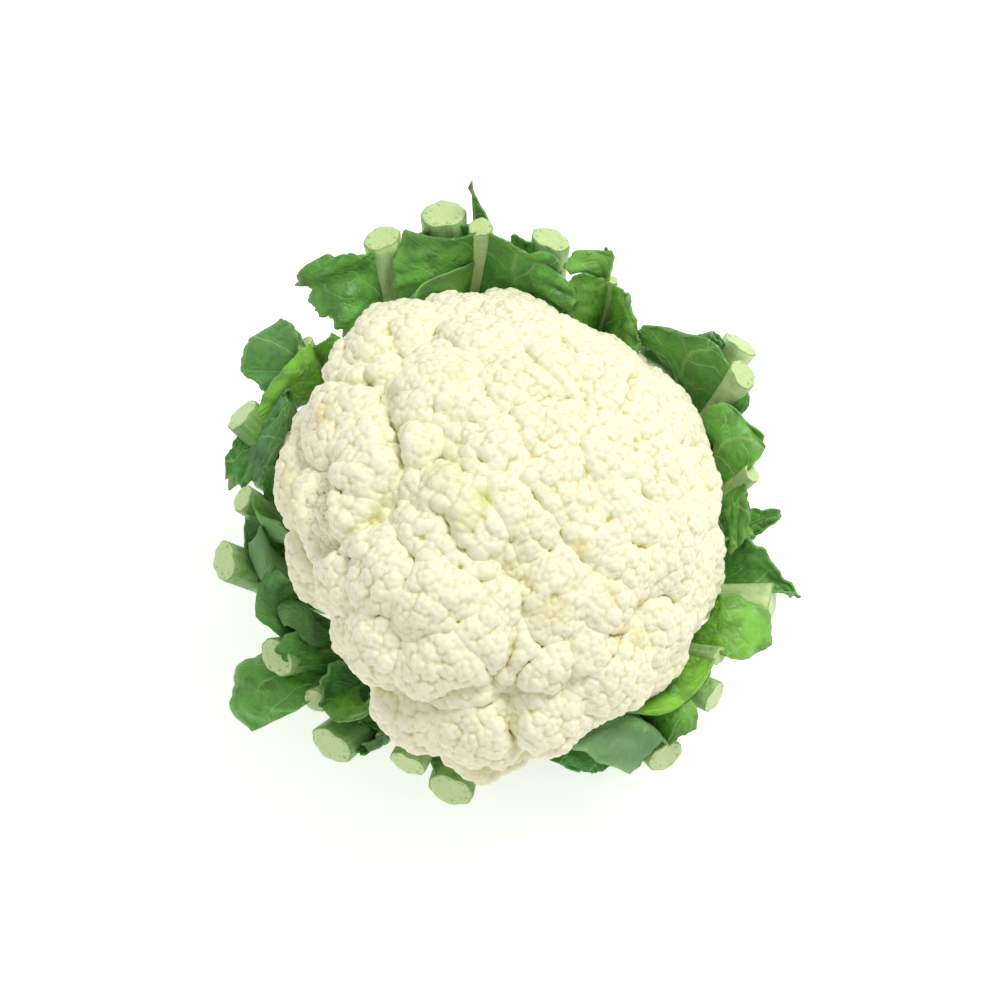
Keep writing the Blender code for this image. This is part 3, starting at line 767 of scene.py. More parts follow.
def curd_material(settings, mottle):
    material, nodes, shader = new_material("curd_beads")
    place = nodes.add("ShaderNodeTexCoord").outputs["Object"]
    torn, bruise = nodes.attribute("torn"), nodes.attribute("bruise")
    warm, olive_shade = (*settings.warm_colour, 1), (*settings.crease_shade_colour, 1)
    base = mottled(
        nodes, mottle, place, (*settings.colour, 1), warm, patch=(42.0, 0.55), grain=(1500.0, 0.07)
    )
    mixed_tan = nodes.span(nodes.noise(place, 520.0, 4.0, 0.7), 0.35, 0.62)
    spots = nodes.add("ShaderNodeTexVoronoi", {"Vector": place, "Scale": 115.0, "Randomness": 1.0})
    speck = nodes.span(spots.outputs["Distance"], 0.035, 0.06, 1.0, 0.0)
    rare = nodes.add("ShaderNodeSeparateXYZ", {0: spots.outputs["Color"]}).outputs["X"]
    speck = nodes.math("MULTIPLY", speck, nodes.math("GREATER_THAN", rare, 0.93))
    # The crease and cleft tints darken the hollows between beads and florets: painted shade, partly
    # the curd's own olive colour there.
    cleft_shade_depth = nodes.math("SUBTRACT", 0.85, nodes.math("MULTIPLY", torn, 0.7))
    tinted = base["Colour"]
    for mask, amount, tint in (
        (torn, 0.8, TORN_FLESH),
        (nodes.attribute("crease"), 0.34, olive_shade),
        (nodes.attribute("cleft"), cleft_shade_depth, olive_shade),
        (bruise, nodes.math("MULTIPLY_ADD", mixed_tan, 0.6, third=0.5), BRUISE_TAN),
        (nodes.attribute("greened"), 0.7, GREENED_TINT),
        (nodes.attribute("under"), 0.85, UNDERSIDE_GREEN),
        (speck, 0.8, DARK_SPECK),
    ):
        tinted = nodes.blend(nodes.math("MULTIPLY", mask, amount), tinted, tint)
    nodes.feed(shader.inputs["Base Color"], tinted)
    nodes.feed(shader.inputs["Roughness"], nodes.span(base["Grain"], 0.3, 0.7, 0.52, 0.68))
    shader.inputs["Specular IOR Level"].default_value = 0.35
    grains = nodes.add("ShaderNodeTexVoronoi", {"Vector": place, "Scale": 1250.0})
    height = nodes.math("SUBTRACT", base["Grain"], grains.outputs["Distance"])
    emboss(nodes, shader, height, 0.32, 0.18 * MM)
    return material


def blade_materials(settings, veins, mottle):
    """One material for the inner face of the blades and one for the waxy outer face."""
    for name, young, mature, wax in (
        ("blade_inner_face", settings.young_colour, settings.mature_colour, 0.0),
        ("blade_waxy_back", settings.young_back, settings.mature_back, 0.35),
    ):
        material, nodes, shader = new_material(name)
        leaf_place = nodes.add("ShaderNodeUVMap", uv_map="leaf").outputs[0]
        place = nodes.add("ShaderNodeTexCoord").outputs["Object"]
        tone = nodes.attribute("tone")
        bloom = nodes.math("ADD", nodes.attribute("bloom"), wax, True)
        edge = nodes.attribute("edge")
        pattern = place_group(nodes, veins, {"Place": leaf_place})
        green = nodes.blend(tone, (*young, 1), (*mature, 1))
        lighter = nodes.scaled(green, 1.45)
        base = mottled(nodes, mottle, place, green, lighter, patch=(75.0, 0.6), grain=(1100.0, 0.3))
        shade = nodes.span(nodes.noise(place, 120.0), 0.46, 0.62)
        colour = nodes.blend(shade, base["Colour"], nodes.scaled(base["Colour"], 0.65))
        dusted = nodes.span(nodes.noise(place, 60.0), 0.3, 0.6, 0.45, 0.95)
        wax_colour, pale = (*settings.wax_colour, 1), (*settings.vein_colour, 1)
        colour = nodes.blend(nodes.math("MULTIPLY", bloom, dusted), colour, wax_colour)
        colour = nodes.blend(nodes.math("MULTIPLY", pattern["Net"], 0.12), colour, pale)
        colour = nodes.blend(nodes.math("MULTIPLY", pattern["Veins"], 0.8), colour, pale)
        colour = nodes.blend(nodes.span(edge, 0.94, 1.0, 0.0, 0.5), colour, pale)
        nodes.feed(shader.inputs["Base Color"], colour)
        gloss = nodes.span(base["Grain"], 0.3, 0.7, 0.3, 0.44)
        rough = nodes.math("ADD", gloss, nodes.math("MULTIPLY", bloom, 0.3))
        nodes.feed(shader.inputs["Roughness"], rough)
        shader.inputs["Specular IOR Level"].default_value = 0.32
        let_light_in(shader, 0.12, (0.4, 1.0, 0.2), 1.2 * MM)
        puffed = nodes.math("MULTIPLY", pattern["Cells"], 0.45)
        sunk = nodes.math("MULTIPLY", pattern["Veins"], 0.35)
        emboss(nodes, shader, nodes.math("SUBTRACT", puffed, sunk), 0.65, 0.7 * MM)


def rib_material(settings, mottle):
    material, nodes, shader = new_material("rib_skin")
    place = nodes.add("ShaderNodeTexCoord").outputs["Object"]
    leaf_place = nodes.add("ShaderNodeUVMap", uv_map="leaf").outputs[0]
    tone = nodes.attribute("tone")
    along = nodes.attribute("edge")
    long_fibres = nodes.add("ShaderNodeMapping", {"Vector": leaf_place, "Scale": (9.0, 0.7, 1.0)})
    streak = nodes.noise(long_fibres.outputs[0], 1.0, 3.0, 0.6)
    skin = nodes.blend(tone, (*settings.rib_colour, 1), (*settings.rib_dark, 1))
    wax, pale, dark = (
        (*colour, 1) for colour in (settings.wax_colour, settings.rib_pale, settings.rib_dark)
    )
    base = mottled(nodes, mottle, place, skin, wax, patch=(95.0, 0.35), grain=(1200.0, 0.14))
    colour = nodes.blend(nodes.span(streak, 0.45, 0.75, 0.0, 0.35), base["Colour"], pale)
    blotch = nodes.span(nodes.noise(place, 230.0, 4.0, 0.65), 0.5, 0.64)
    blotch = nodes.math("MULTIPLY", blotch, nodes.span(tone, 0.0, 1.0, 0.15, 0.75, False))
    colour = nodes.blend(blotch, colour, dark)
    colour = nodes.blend(nodes.span(along, 0.0, 0.3, 0.7, 0.0), colour, pale)
    nodes.feed(shader.inputs["Base Color"], colour)
    nodes.feed(shader.inputs["Roughness"], nodes.span(streak, 0.3, 0.7, 0.36, 0.5))
    let_light_in(shader, 0.2, (0.6, 1.0, 0.3), 2 * MM)
    emboss(nodes, shader, nodes.math("ADD", streak, base["Grain"]), 0.4, 0.4 * MM)
    return material


def cut_material(settings, name, flesh):
    material, nodes, shader = new_material(name)
    fibres, rim = shared_group("Cut Fibres", fibre_group), settings.rib_dark
    leaf_place = nodes.add("ShaderNodeUVMap", uv_map="leaf").outputs[0]
    share = nodes.attribute("edge")
    found = place_group(nodes, fibres, {"Place": leaf_place, "Share": share})
    pale = nodes.blend(nodes.span(found["Rough"], 0.35, 0.65), (*flesh, 1), (*settings.rib_pale, 1))
    colour = nodes.blend(nodes.math("MULTIPLY", found["Dots"], 0.4), pale, (*rim, 1))
    colour = nodes.blend(nodes.math("MULTIPLY", found["Skin"], 0.8), colour, (*rim, 1))
    nodes.feed(shader.inputs["Base Color"], colour)
    nodes.feed(shader.inputs["Roughness"], nodes.span(found["Rough"], 0.3, 0.7, 0.3, 0.6))
    let_light_in(shader, 0.25, (0.7, 1.0, 0.4), 2 * MM)
    emboss(nodes, shader, nodes.math("SUBTRACT", found["Rough"], found["Dots"]), 0.6, 0.4 * MM)
    return material


def shared_group(name, make):
    return bpy.data.node_groups.get(name) or make()


def leaf_materials():
    """The four materials that all leaves share, in the order of their slots on a leaf."""
    if "rib_skin" not in bpy.data.materials:
        settings = look("cauliflower_leaves")
        mottle = shared_group("Mottle", mottle_group)
        blade_materials(settings, shared_group("Leaf Veins", vein_group), mottle)
        rib_material(settings, mottle)
        cut_material(settings, "rib_cut", settings.cut_colour)
    names = ("blade_inner_face", "blade_waxy_back", "rib_skin", "rib_cut")
    return [bpy.data.materials[name] for name in names]


# ---------------------------------------------------------------- curd


def direction(azimuth, polar):
    azimuth, polar = math.radians(azimuth), math.radians(polar)
    return np.array(
        (math.sin(polar) * math.cos(azimuth), math.sin(polar) * math.sin(azimuth), math.cos(polar))
    )


def ball_grid(count):
    """Unit vectors and quads of a ball made of six square grids with even spacing."""
    steps = np.arange(count + 1)
    first, second = np.meshgrid(steps, steps, indexing="ij")
    corners, sheets = [], []
    for axis in range(3):
        for side in (0, count):
            grid = np.empty((count + 1, count + 1, 3), dtype=np.int64)
            grid[..., axis] = side
            grid[..., (axis + 1) % 3] = first
            grid[..., (axis + 2) % 3] = second
            sheets.append((len(corners), side > 0))
            corners.append(grid.reshape(-1, 3))
    lattice = np.concatenate(corners)
    keys = (lattice[:, 0] * (count + 1) + lattice[:, 1]) * (count + 1) + lattice[:, 2]
    _, where, back = np.unique(keys, return_index=True, return_inverse=True)
    back = back.reshape(-1)
    faces = []
    index = np.arange((count + 1) ** 2).reshape(count + 1, count + 1)
    for number, outward in sheets:
        ids = back[index + number * (count + 1) ** 2]
        quad = np.stack((ids[:-1, :-1], ids[1:, :-1], ids[1:, 1:], ids[:-1, 1:]), -1).reshape(-1, 4)
        faces.append(quad if outward else quad[:, ::-1])
    points = np.tan((lattice[where] / count * 2 - 1) * math.pi / 4)
    return unit(points), np.concatenate(faces)


def highest_dome(ways, domes, floor, power):
    """At each direction, the highest of the domes, its number, and its lead over the next one."""
    best = np.full(len(ways), -1e9)
    second = np.full(len(ways), -1e9)
    owner = np.zeros(len(ways), dtype=np.int64)
    for number, (azimuth, polar, half_width, rise) in enumerate(domes):
        angle = np.arccos(np.clip(ways @ direction(azimuth, polar), -1, 1))
        share = angle / math.radians(half_width)
        height = rise * MM * (1 - share**power)
        higher = height > best
        second = np.where(higher, best, np.maximum(second, height))
        owner = np.where(higher, number, owner)
        best = np.where(higher, height, best)
    return np.maximum(best, -floor), owner, best - np.maximum(second, -floor)


def spots_at(ways, spots):
    total = np.zeros(len(ways))
    for azimuth, polar, half_width, strength in spots:
        angle = np.degrees(np.arccos(np.clip(ways @ direction(azimuth, polar), -1, 1)))
        total = np.maximum(total, strength * smooth_step(half_width * 1.5, half_width * 0.4, angle))
    return total


def torn_floret(ways, rng):
    """A floret broken off: a rough hollow, and beside it the upright wall of the floret left."""
    hollow, wall = direction(191, 45.5), direction(196, 36)
    right = unit(wall - hollow)
    up = np.cross(direction(193, 41), right)
    across = np.degrees((ways - (hollow + wall) / 2) @ right)
    along = np.degrees((ways - (hollow + wall) / 2) @ up)
    inside = smooth_step(10, 8, np.abs(along)) * (ways[:, 2] > 0.3)
    left = smooth_step(-13, -9, across) * smooth_step(-1.2, -2.4, across) * inside
    kept = smooth_step(-2.2, -1.0, across) * smooth_step(9, 5.5, across) * inside
    crumbs = ripple(rng, ways, 0.05, 3)
    return left, (-3.4 * left + 1.3 * crumbs * left + 2.6 * kept) * MM


def hollowness(mesh, rounds):
    """How far each point lies below its blurred surroundings, in mm: above 0 in creases."""
    count = len(mesh.vertices)
    points, normals = read_vectors(mesh, "co"), read_vectors(mesh, "normal")
    edges = np.empty(len(mesh.edges) * 2, dtype=np.int64)
    mesh.edges.foreach_get("vertices", edges)
    first, second = edges.reshape(-1, 2).T
    number = np.bincount(first, minlength=count) + np.bincount(second, minlength=count)
    blurred = points.copy()
    found = []
    for done in range(1, max(rounds) + 1):
        blurred = np.stack([
            np.bincount(first, blurred[second, axis], count)
            + np.bincount(second, blurred[first, axis], count)
            for axis in range(3)
        ], 1) / number[:, None]
        if done in rounds:
            found.append(np.sum((blurred - points) * normals, axis=1) / MM)
    return found


def curd_base(settings):
    """The curd before beading: lobes and florets on two half ellipsoids."""
    rng = np.random.default_rng(settings.seed)
    ways, quads = ball_grid(settings.grid)
    waver = np.stack([ripple(rng, ways, 0.5) for _ in range(3)], 1)
    bent = unit(ways + 0.035 * waver)
    lobe, _, lobe_lead = highest_dome(bent, LOBES, LOBE_SEAM, 2.6)
    floret, owner, floret_lead = highest_dome(bent, FLORETS, FLORET_SEAM, 2.3)
    bold = 0.9 + 0.5 * smooth_step(0.35, -0.35, ways @ unit(np.array((1.0, 0.55, 0.0))))
    upper = ways[:, 2] > 0
    half_z = np.where(upper, CURD_RISE, CURD_DROP)
    drawn_in = 1 - CURD_UNDERCUT * np.maximum(0, -ways[:, 2]) ** CURD_UNDERCUT_POWER
    half = np.stack((np.full(len(ways), CURD_HALF_X), np.full(len(ways), CURD_HALF_Y), half_z), 1)
    points = ways * half
    points[:, :2] *= drawn_in[:, None]
    outward = unit(ways / half)
    beaded = smooth_step(-0.9, -0.45, ways[:, 2])
    groove = 1.3 * MM * smooth_step(1.1 * MM, 0, floret_lead)
    groove += 3.2 * MM * smooth_step(2.2 * MM, 0, lobe_lead) * smooth_step(0.95, 1.4, bold)
    relief = ((0.85 * lobe + 1.5 * floret) * bold - groove) * (0.35 + 0.65 * beaded) - LOWERED
    for azimuth, polar, half_width, depth in DENTS:
        angle = np.degrees(np.arccos(np.clip(ways @ direction(azimuth, polar), -1, 1)))
        relief -= depth * MM * smooth_step(half_width, 0, angle)
    torn, ledge = torn_floret(ways, rng)
    relief += ledge
    points += outward * relief[:, None]
    points[:, 2] += CURD_EQUATOR
    floor = CURD_LOW.z + 0.3 * MM
    heights = points[:, 2]
    points[:, 2] = np.where(heights < floor, floor + (heights - floor) * 0.02, heights)
    mesh = bpy.data.meshes.new("curd_whole")
    mesh.vertices.add(len(points))
    mesh.vertices.foreach_set("co", points.ravel())
    mesh.loops.add(quads.size)
    mesh.loops.foreach_set("vertex_index", quads.ravel())
    mesh.polygons.add(len(quads))
    mesh.polygons.foreach_set("loop_start", np.arange(0, quads.size, 4))
    mesh.update(calc_edges=True)
    float_attribute(mesh, "beaded", beaded * (1 - 0.6 * torn))
    float_attribute(mesh, "torn", torn)
    float_attribute(mesh, "bruise", spots_at(ways, BRUISES))
    float_attribute(mesh, "greened", spots_at(ways, GREENED))
    low = smooth_step(-0.15, -0.6, ways[:, 2]) * 0.8
    float_attribute(mesh, "under", np.maximum(low, 0.35 * smooth_step(0.3, -0.2, ways[:, 2])))
    float_attribute(mesh, "floret", owner)
    return mesh


def bead_tree():
    """Geometry nodes that swell a surface into packed beads, each round its own middle."""
    tree, sockets, nodes, given = new_shape_tree("Bead the Surface", (
        ("Spacing", "Float", 0.005),
        ("Height", "Float", 0.001),
        ("Unevenness", "Float", 0.4),
        ("Roundness", "Float", 2.0),
        ("Seed", "Int", 1),
    ))
    surface, spacing, seed = given["Geometry"], given["Spacing"], given["Seed"]
    density = nodes.math("DIVIDE", 9.0, nodes.math("MULTIPLY", spacing, spacing))
    ways = {"Mesh": surface, "Distance Min": spacing, "Density Max": density, "Seed": seed}
    scatter = nodes.add("GeometryNodeDistributePointsOnFaces", distribute_method="POISSON")
    for label, value in ways.items():
        nodes.feed(scatter.inputs[label], value)
    middles = scatter.outputs["Points"]
    nearest = nodes.add("GeometryNodeSampleNearest", {"Geometry": middles}, domain="POINT")
    nearest = nearest.outputs[0]
    here = nodes.add("GeometryNodeInputPosition").outputs[0]
    there = nodes.add(
        "GeometryNodeSampleIndex",
        {"Geometry": middles, "Index": nearest},
        data_type="FLOAT_VECTOR",
        domain="POINT",
    )
    nodes.feed(there.inputs["Value"], here)
    gap = nodes.add("ShaderNodeVectorMath", {0: here, 1: there.outputs[0]}, operation="DISTANCE")
    reach = nodes.math("MULTIPLY", spacing, 0.72)
    share = nodes.math("DIVIDE", gap.outputs["Value"], reach, True)
    curve = nodes.math("POWER", share, given["Roundness"])
    luck = nodes.add("FunctionNodeRandomValue", {"ID": nearest}, data_type="FLOAT")
    nodes.feed(luck.inputs["Seed"], seed)
    lower = nodes.math("MULTIPLY", luck.outputs[1], given["Unevenness"])
    size = nodes.math("MULTIPLY", given["Height"], nodes.math("SUBTRACT", 1.0, lower))
    beaded = nodes.add("GeometryNodeInputNamedAttribute", {"Name": "beaded"}, data_type="FLOAT")
    rise = nodes.math("MULTIPLY", size, nodes.math("SUBTRACT", 1.0, curve))
    rise = nodes.math("MULTIPLY", rise, beaded.outputs[0])
    offset = nodes.scaled(nodes.add("GeometryNodeInputNormal").outputs[0], rise)
    move = nodes.add("GeometryNodeSetPosition", {"Geometry": surface})
    nodes.feed(move.inputs["Offset"], offset)
    finish_shape_tree(nodes, given, move.outputs[0])
    return tree, sockets


def split_by_floret(mesh, material):
    """Cut the curd along its seams into wedges that meet inside, each a closed piece."""
    points, normals = read_vectors(mesh, "co"), read_vectors(mesh, "normal")
    corners = np.empty(len(mesh.loops), dtype=np.int64)
    mesh.loops.foreach_get("vertex_index", corners)
    quads = corners.reshape(-1, 4)
    owner = np.rint(read_floats(mesh, "floret")).astype(int)
    group_of = np.array([curd_group(azimuth, polar) for azimuth, polar, _, _ in FLORETS])
    face_group = np.sort(group_of[owner[quads]], axis=1)[:, 1]
    names = ("cleft", "crease", "torn", "bruise", "greened", "under")
    values = {name: read_floats(mesh, name) for name in names}
    pieces = []
    for group in range(group_of.max() + 1):
        chosen = quads[face_group == group]
        used, back = np.unique(chosen, return_inverse=True)
        back = back.reshape(chosen.shape)
        starts, ends = back.ravel(), np.roll(back, -1, axis=1).ravel()
        there = set(zip(starts.tolist(), ends.tolist()))
        rim = [(a, b) for a, b in there if (b, a) not in there]
        rim.sort()
        apex = len(used)
        mine = points[used]
        heart = (0, 0, CURD_LOW.z + 12 * MM) + 0.05 * (mine.mean(axis=0) - (0, 0, CURD_EQUATOR))
        made = mesh_of(
            f"curd_part_{group + 1}",
            np.vstack((mine, heart)),
            back.tolist() + [(b, a, apex) for a, b in rim],
        )
        made.shade_smooth()
        made.normals_split_custom_set_from_vertices(np.vstack((normals[used], UP)).tolist())
        made.materials.append(material)
        for name, value in values.items():
            float_attribute(made, name, np.append(value[used], 0.5))
        pieces.append(add_object(made.name, made))
    return pieces


def curd_group(azimuth, polar):
    """Which of the curd's parts a floret belongs to: the crown in three, and five at the sides."""
    if polar < 46:
        return int(azimuth % 360 // 120)
    return 3 + int(azimuth % 360 // 72)


class CAULIFLOWER_OT_curd(bpy.types.Operator):
    """Grow the curd: lobes, florets and three sizes of bead"""

    bl_idname = "cauliflower.curd"
    bl_label = "Curd"

    def execute(self, context):
        settings = look("cauliflower_curd")
        material = curd_material(settings, shared_group("Mottle", mottle_group))
        whole = add_object("curd_whole", curd_base(settings))
        tree, sockets = bead_tree()
        for number, (size, roundness) in enumerate((("cluster", 2.2), ("bud", 2.2), ("bead", 2.0))):
            grow_by_tree(whole, size, tree, sockets, {
                "Spacing": getattr(settings, size + "_spacing"),
                "Height": getattr(settings, size + "_height"),
                "Unevenness": 0.5,
                "Roundness": roundness,
                "Seed": settings.seed + number,
                "Material": material,
            })
        mesh = bake_modifiers(whole)
        fine, broad = hollowness(mesh, (4, 36))
        # The crease and cleft masks carry painted shade into the hollows, partly the curd's own
        # olive colour.
        float_attribute(mesh, "crease", smooth_step(0.0, 0.09, fine))
        float_attribute(mesh, "cleft", smooth_step(0.1, 0.8, broad))
        for piece in split_by_floret(mesh, material):
            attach(piece, "root")
            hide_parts("curd")
        bpy.data.objects.remove(whole, do_unlink=True)
        bpy.data.meshes.remove(mesh)
        return {"FINISHED"}


# ---------------------------------------------------------------- branches under the curd

BRANCHES = 22


def branch_tree():
    """Geometry nodes that turn edges into tapered branches: the point radius is an attribute."""
    tree, sockets, nodes, given = new_shape_tree(
        "Curd Branches", (("Sides", "Int", 18), ("Knobbliness", "Float", 0.0006))
    )
    curve = nodes.add("GeometryNodeMeshToCurve", {"Mesh": given["Geometry"]})
    radius = nodes.add("GeometryNodeInputNamedAttribute", {"Name": "radius"}, data_type="FLOAT")
    sized = nodes.add("GeometryNodeSetCurveRadius", {"Curve": curve.outputs[0]})
    nodes.feed(sized.inputs["Radius"], radius.outputs[0])
    ring = nodes.add("GeometryNodeCurvePrimitiveCircle", {"Radius": 1.0})
    nodes.feed(ring.inputs["Resolution"], given["Sides"])
    tube = nodes.add(
        "GeometryNodeCurveToMesh",
        {"Curve": sized.outputs[0], "Profile Curve": ring.outputs[0], "Fill Caps": True},
    )
    nodes.feed(tube.inputs["Scale"], radius.outputs[0])
    place = nodes.add("GeometryNodeInputPosition").outputs[0]
    bumps = nodes.math("SUBTRACT", nodes.noise(place, 160.0, 2.0), 0.5)
    rise = nodes.math("MULTIPLY", bumps, given["Knobbliness"])
    move = nodes.add("GeometryNodeSetPosition", {"Geometry": tube.outputs[0]})
    shift = nodes.scaled(nodes.add("GeometryNodeInputNormal").outputs[0], rise)
    nodes.feed(move.inputs["Offset"], shift)
    finish_shape_tree(nodes, given, move.outputs[0])
    return tree, sockets


def branch_material(settings, mottle):
    material, nodes, shader = new_material("curd_branch")
    place = nodes.add("ShaderNodeTexCoord").outputs["Object"]
    pale, cream = (*settings.branch_colour, 1), (*settings.colour, 1)
    base = mottled(nodes, mottle, place, pale, cream, patch=(70.0, 0.6), grain=(900.0, 0.1))
    nodes.feed(shader.inputs["Base Color"], base["Colour"])
    nodes.feed(shader.inputs["Roughness"], nodes.span(base["Grain"], 0.3, 0.7, 0.42, 0.56))
    let_light_in(shader, 0.25, (0.8, 1.0, 0.5), 2 * MM)
    emboss(nodes, shader, base["Grain"], 0.3, 0.4 * MM)
    return material


class CAULIFLOWER_OT_branches(bpy.types.Operator):
    """Grow the pale branches that spread from the stalk under the curd"""

    bl_idname = "cauliflower.branches"
    bl_label = "Branches"

    def execute(self, context):
        settings = look("cauliflower_curd")
        rng = np.random.default_rng(settings.seed + 40)
        points, edges, radii = [], [], []
        steps = 9
        low = CURD_LOW.z
        for number in range(BRANCHES):
            azimuth = 2 * math.pi * (number + rng.uniform(-0.25, 0.25)) / BRANCHES
            around = np.array((math.cos(azimuth), math.sin(azimuth)))
            reach = rng.uniform(0.62, 0.8)
            first = len(points)
            for step in range(steps + 1):
                share = step / steps
                spread = 14 * MM + share * (reach * CURD_HALF_X - 14 * MM)
                height = low - 5 * MM + (3 + 17 * share**1.7) * MM
                points.append((*(around * spread), height))
                radii.append((6.2 - 2.6 * share + 1.6 * share**4) * MM)
                if step:
                    edges.append((first + step - 1, first + step))
        mesh = bpy.data.meshes.new("curd_branches")
        mesh.from_pydata(points, edges, [])
        float_attribute(mesh, "radius", radii)
        branches = add_object("curd_branches", mesh)
        tree, sockets = branch_tree()
        grow_by_tree(branches, "branches", tree, sockets, {
            "Sides": 18,
            "Knobbliness": 1.2 * MM,
            "Material": branch_material(settings, shared_group("Mottle", mottle_group)),
        })
        bake_modifiers(branches).shade_smooth()
        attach(branches, "root")
        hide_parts("curd")
        return {"FINISHED"}


# ---------------------------------------------------------------- stalk


class CAULIFLOWER_OT_stalk(bpy.types.Operator):
    """Turn the stalk, with a slightly uneven side and rings on its cut foot"""

    bl_idname = "cauliflower.stalk"
    bl_label = "Stalk"

    def execute(self, context):
        rng = np.random.default_rng(7)
        leaves = look("cauliflower_leaves")
        sides, rows, rings = 128, 60, 16
        foot = (STALK_HIGH.x - STALK_LOW.x) / 2 - 2 * MM
        top = (STALK_HIGH.x - STALK_LOW.x) / 2
        height = STALK_HIGH.z
        turn = np.linspace(0, 2 * math.pi, sides, endpoint=False)
        points, uvs, edge = [], [], []
        for row in range(rows + 1):
            share = row / rows
            z = share * height
            ring = np.stack((np.cos(turn), np.sin(turn), np.full(sides, z / 0.02)), 1)
            wobble = ripple(np.random.default_rng(7), ring, 1.6)
            radius = foot + (top - foot) * share + wobble * 0.45 * MM
            radius = radius - 1.2 * MM * smooth_step(0.05, 0.0, share)
            points += [(r * math.cos(a), r * math.sin(a), z) for r, a in zip(radius, turn)]
            uvs += [(a * foot / CM, z / CM) for a in turn]
            edge += [share] * sides
        rim = np.hypot(*np.array(points[:sides])[:, :2].T)
        dish = ripple(rng, np.stack((np.cos(turn), np.sin(turn)), 1), 1.2)
        for ring in range(1, rings):
            share = 1 - ring / rings
            z = 0.25 * MM * (1 - share) + 0.06 * MM * dish * share
            points += [
                (r * share * math.cos(a), r * share * math.sin(a), max(0.0, lift))
                for r, a, lift in zip(rim, turn, z)
            ]
            uvs += [
                (r * share * math.cos(a) / CM, r * share * math.sin(a) / CM)
                for r, a in zip(rim, turn)
            ]
            edge += [share] * sides
        faces = []
        for row in range(rows):
            faces += ring_faces(row * sides, (row + 1) * sides, sides)
        kinds = [0] * len(faces)
        ring_starts = [0, *((rows + 1 + ring) * sides for ring in range(rings - 1))]
        for outer, inner in zip(ring_starts, ring_starts[1:]):
            faces += ring_faces(inner, outer, sides)
        middle, lid = len(points), len(points) + 1
        points += [(0, 0, 0.3 * MM), (0, 0, height)]
        uvs += [(0, 0), (0, 0)]
        edge += [0, 1]
        faces += fan_faces(ring_starts[-1], middle, sides, flipped=True)
        kinds += [1] * (len(faces) - len(kinds))
        faces += fan_faces(rows * sides, lid, sides)
        kinds += [0] * sides
        mesh = mesh_of("stalk_stub", points, faces)
        finish_leaf_mesh(mesh, uvs, edge, 0.3, kinds=kinds)
        stalk = add_object("stalk_stub", mesh)
        skin = leaf_materials()[2]
        mesh.materials.append(skin)
        mesh.materials.append(cut_material(leaves, "stalk_cut", leaves.stalk_cut_colour))
        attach(stalk, "root")
        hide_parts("stalk")
        return {"FINISHED"}


# ---------------------------------------------------------------- leaves


def rib_frame(leaf, shares):
    """Place, way along, way to the ccw side and way out from the head, at shares of a rib."""
    whorl = WHORLS[leaf.whorl]
    start = np.array((whorl.radius, whorl.height), dtype=float)
    end = np.array((leaf.radius, leaf.height), dtype=float)
    length = np.linalg.norm(end - start)
    slope = math.radians(leaf.slope)
    handles = np.array((
        start,
        start + (FIRST_HANDLE * length, -whorl.dip),
        end - LAST_HANDLE * length * np.array((math.cos(slope), math.sin(slope))),
        end,
    )) * MM
    share = np.clip(shares, 0, 1)
    rest = 1 - share
    place = np.stack((rest**3, 3 * rest**2 * share, 3 * rest * share**2, share**3), 1) @ handles
    pace = np.stack((3 * rest**2, 6 * rest * share, 3 * share**2), 1) @ np.diff(handles, axis=0)
    turn = math.radians(leaf.azimuth - leaf.base)
    azimuth = math.radians(leaf.base) + turn * share**2 * (3 - 2 * share)
    radial = np.stack((np.cos(azimuth), np.sin(azimuth), 0 * azimuth), 1)
    around = np.stack((-np.sin(azimuth), np.cos(azimuth), 0 * azimuth), 1)
    swing = place[:, 0] * turn * 6 * share * rest
    along = radial * pace[:, :1] + around * swing[:, None] + UP * pace[:, 1:]
    middle = radial * place[:, :1] + UP * place[:, 1:]
    middle += along * (np.asarray(shares) - share)[:, None]
    along = unit(along)
    side = unit(around - along * np.sum(around * along, axis=1)[:, None])
    return middle, along, side, np.cross(side, along)


def rib_length(leaf):
    middle = rib_frame(leaf, np.linspace(0, 1, 60))[0]
    return np.linalg.norm(np.diff(middle, axis=0), axis=1).sum()


def rib_radius(leaf, shares):
    """A rib thickens from the stalk to its middle; an uncut one then thins out to a tip."""
    thin = WHORLS[leaf.whorl].rib
    radius = thin + (leaf.rib - thin) * smooth_step(0, 0.55, shares)
    if leaf.tip:
        radius = radius * (1 - 0.85 * smooth_step(0.5, 1.0, shares))
    return radius * MM


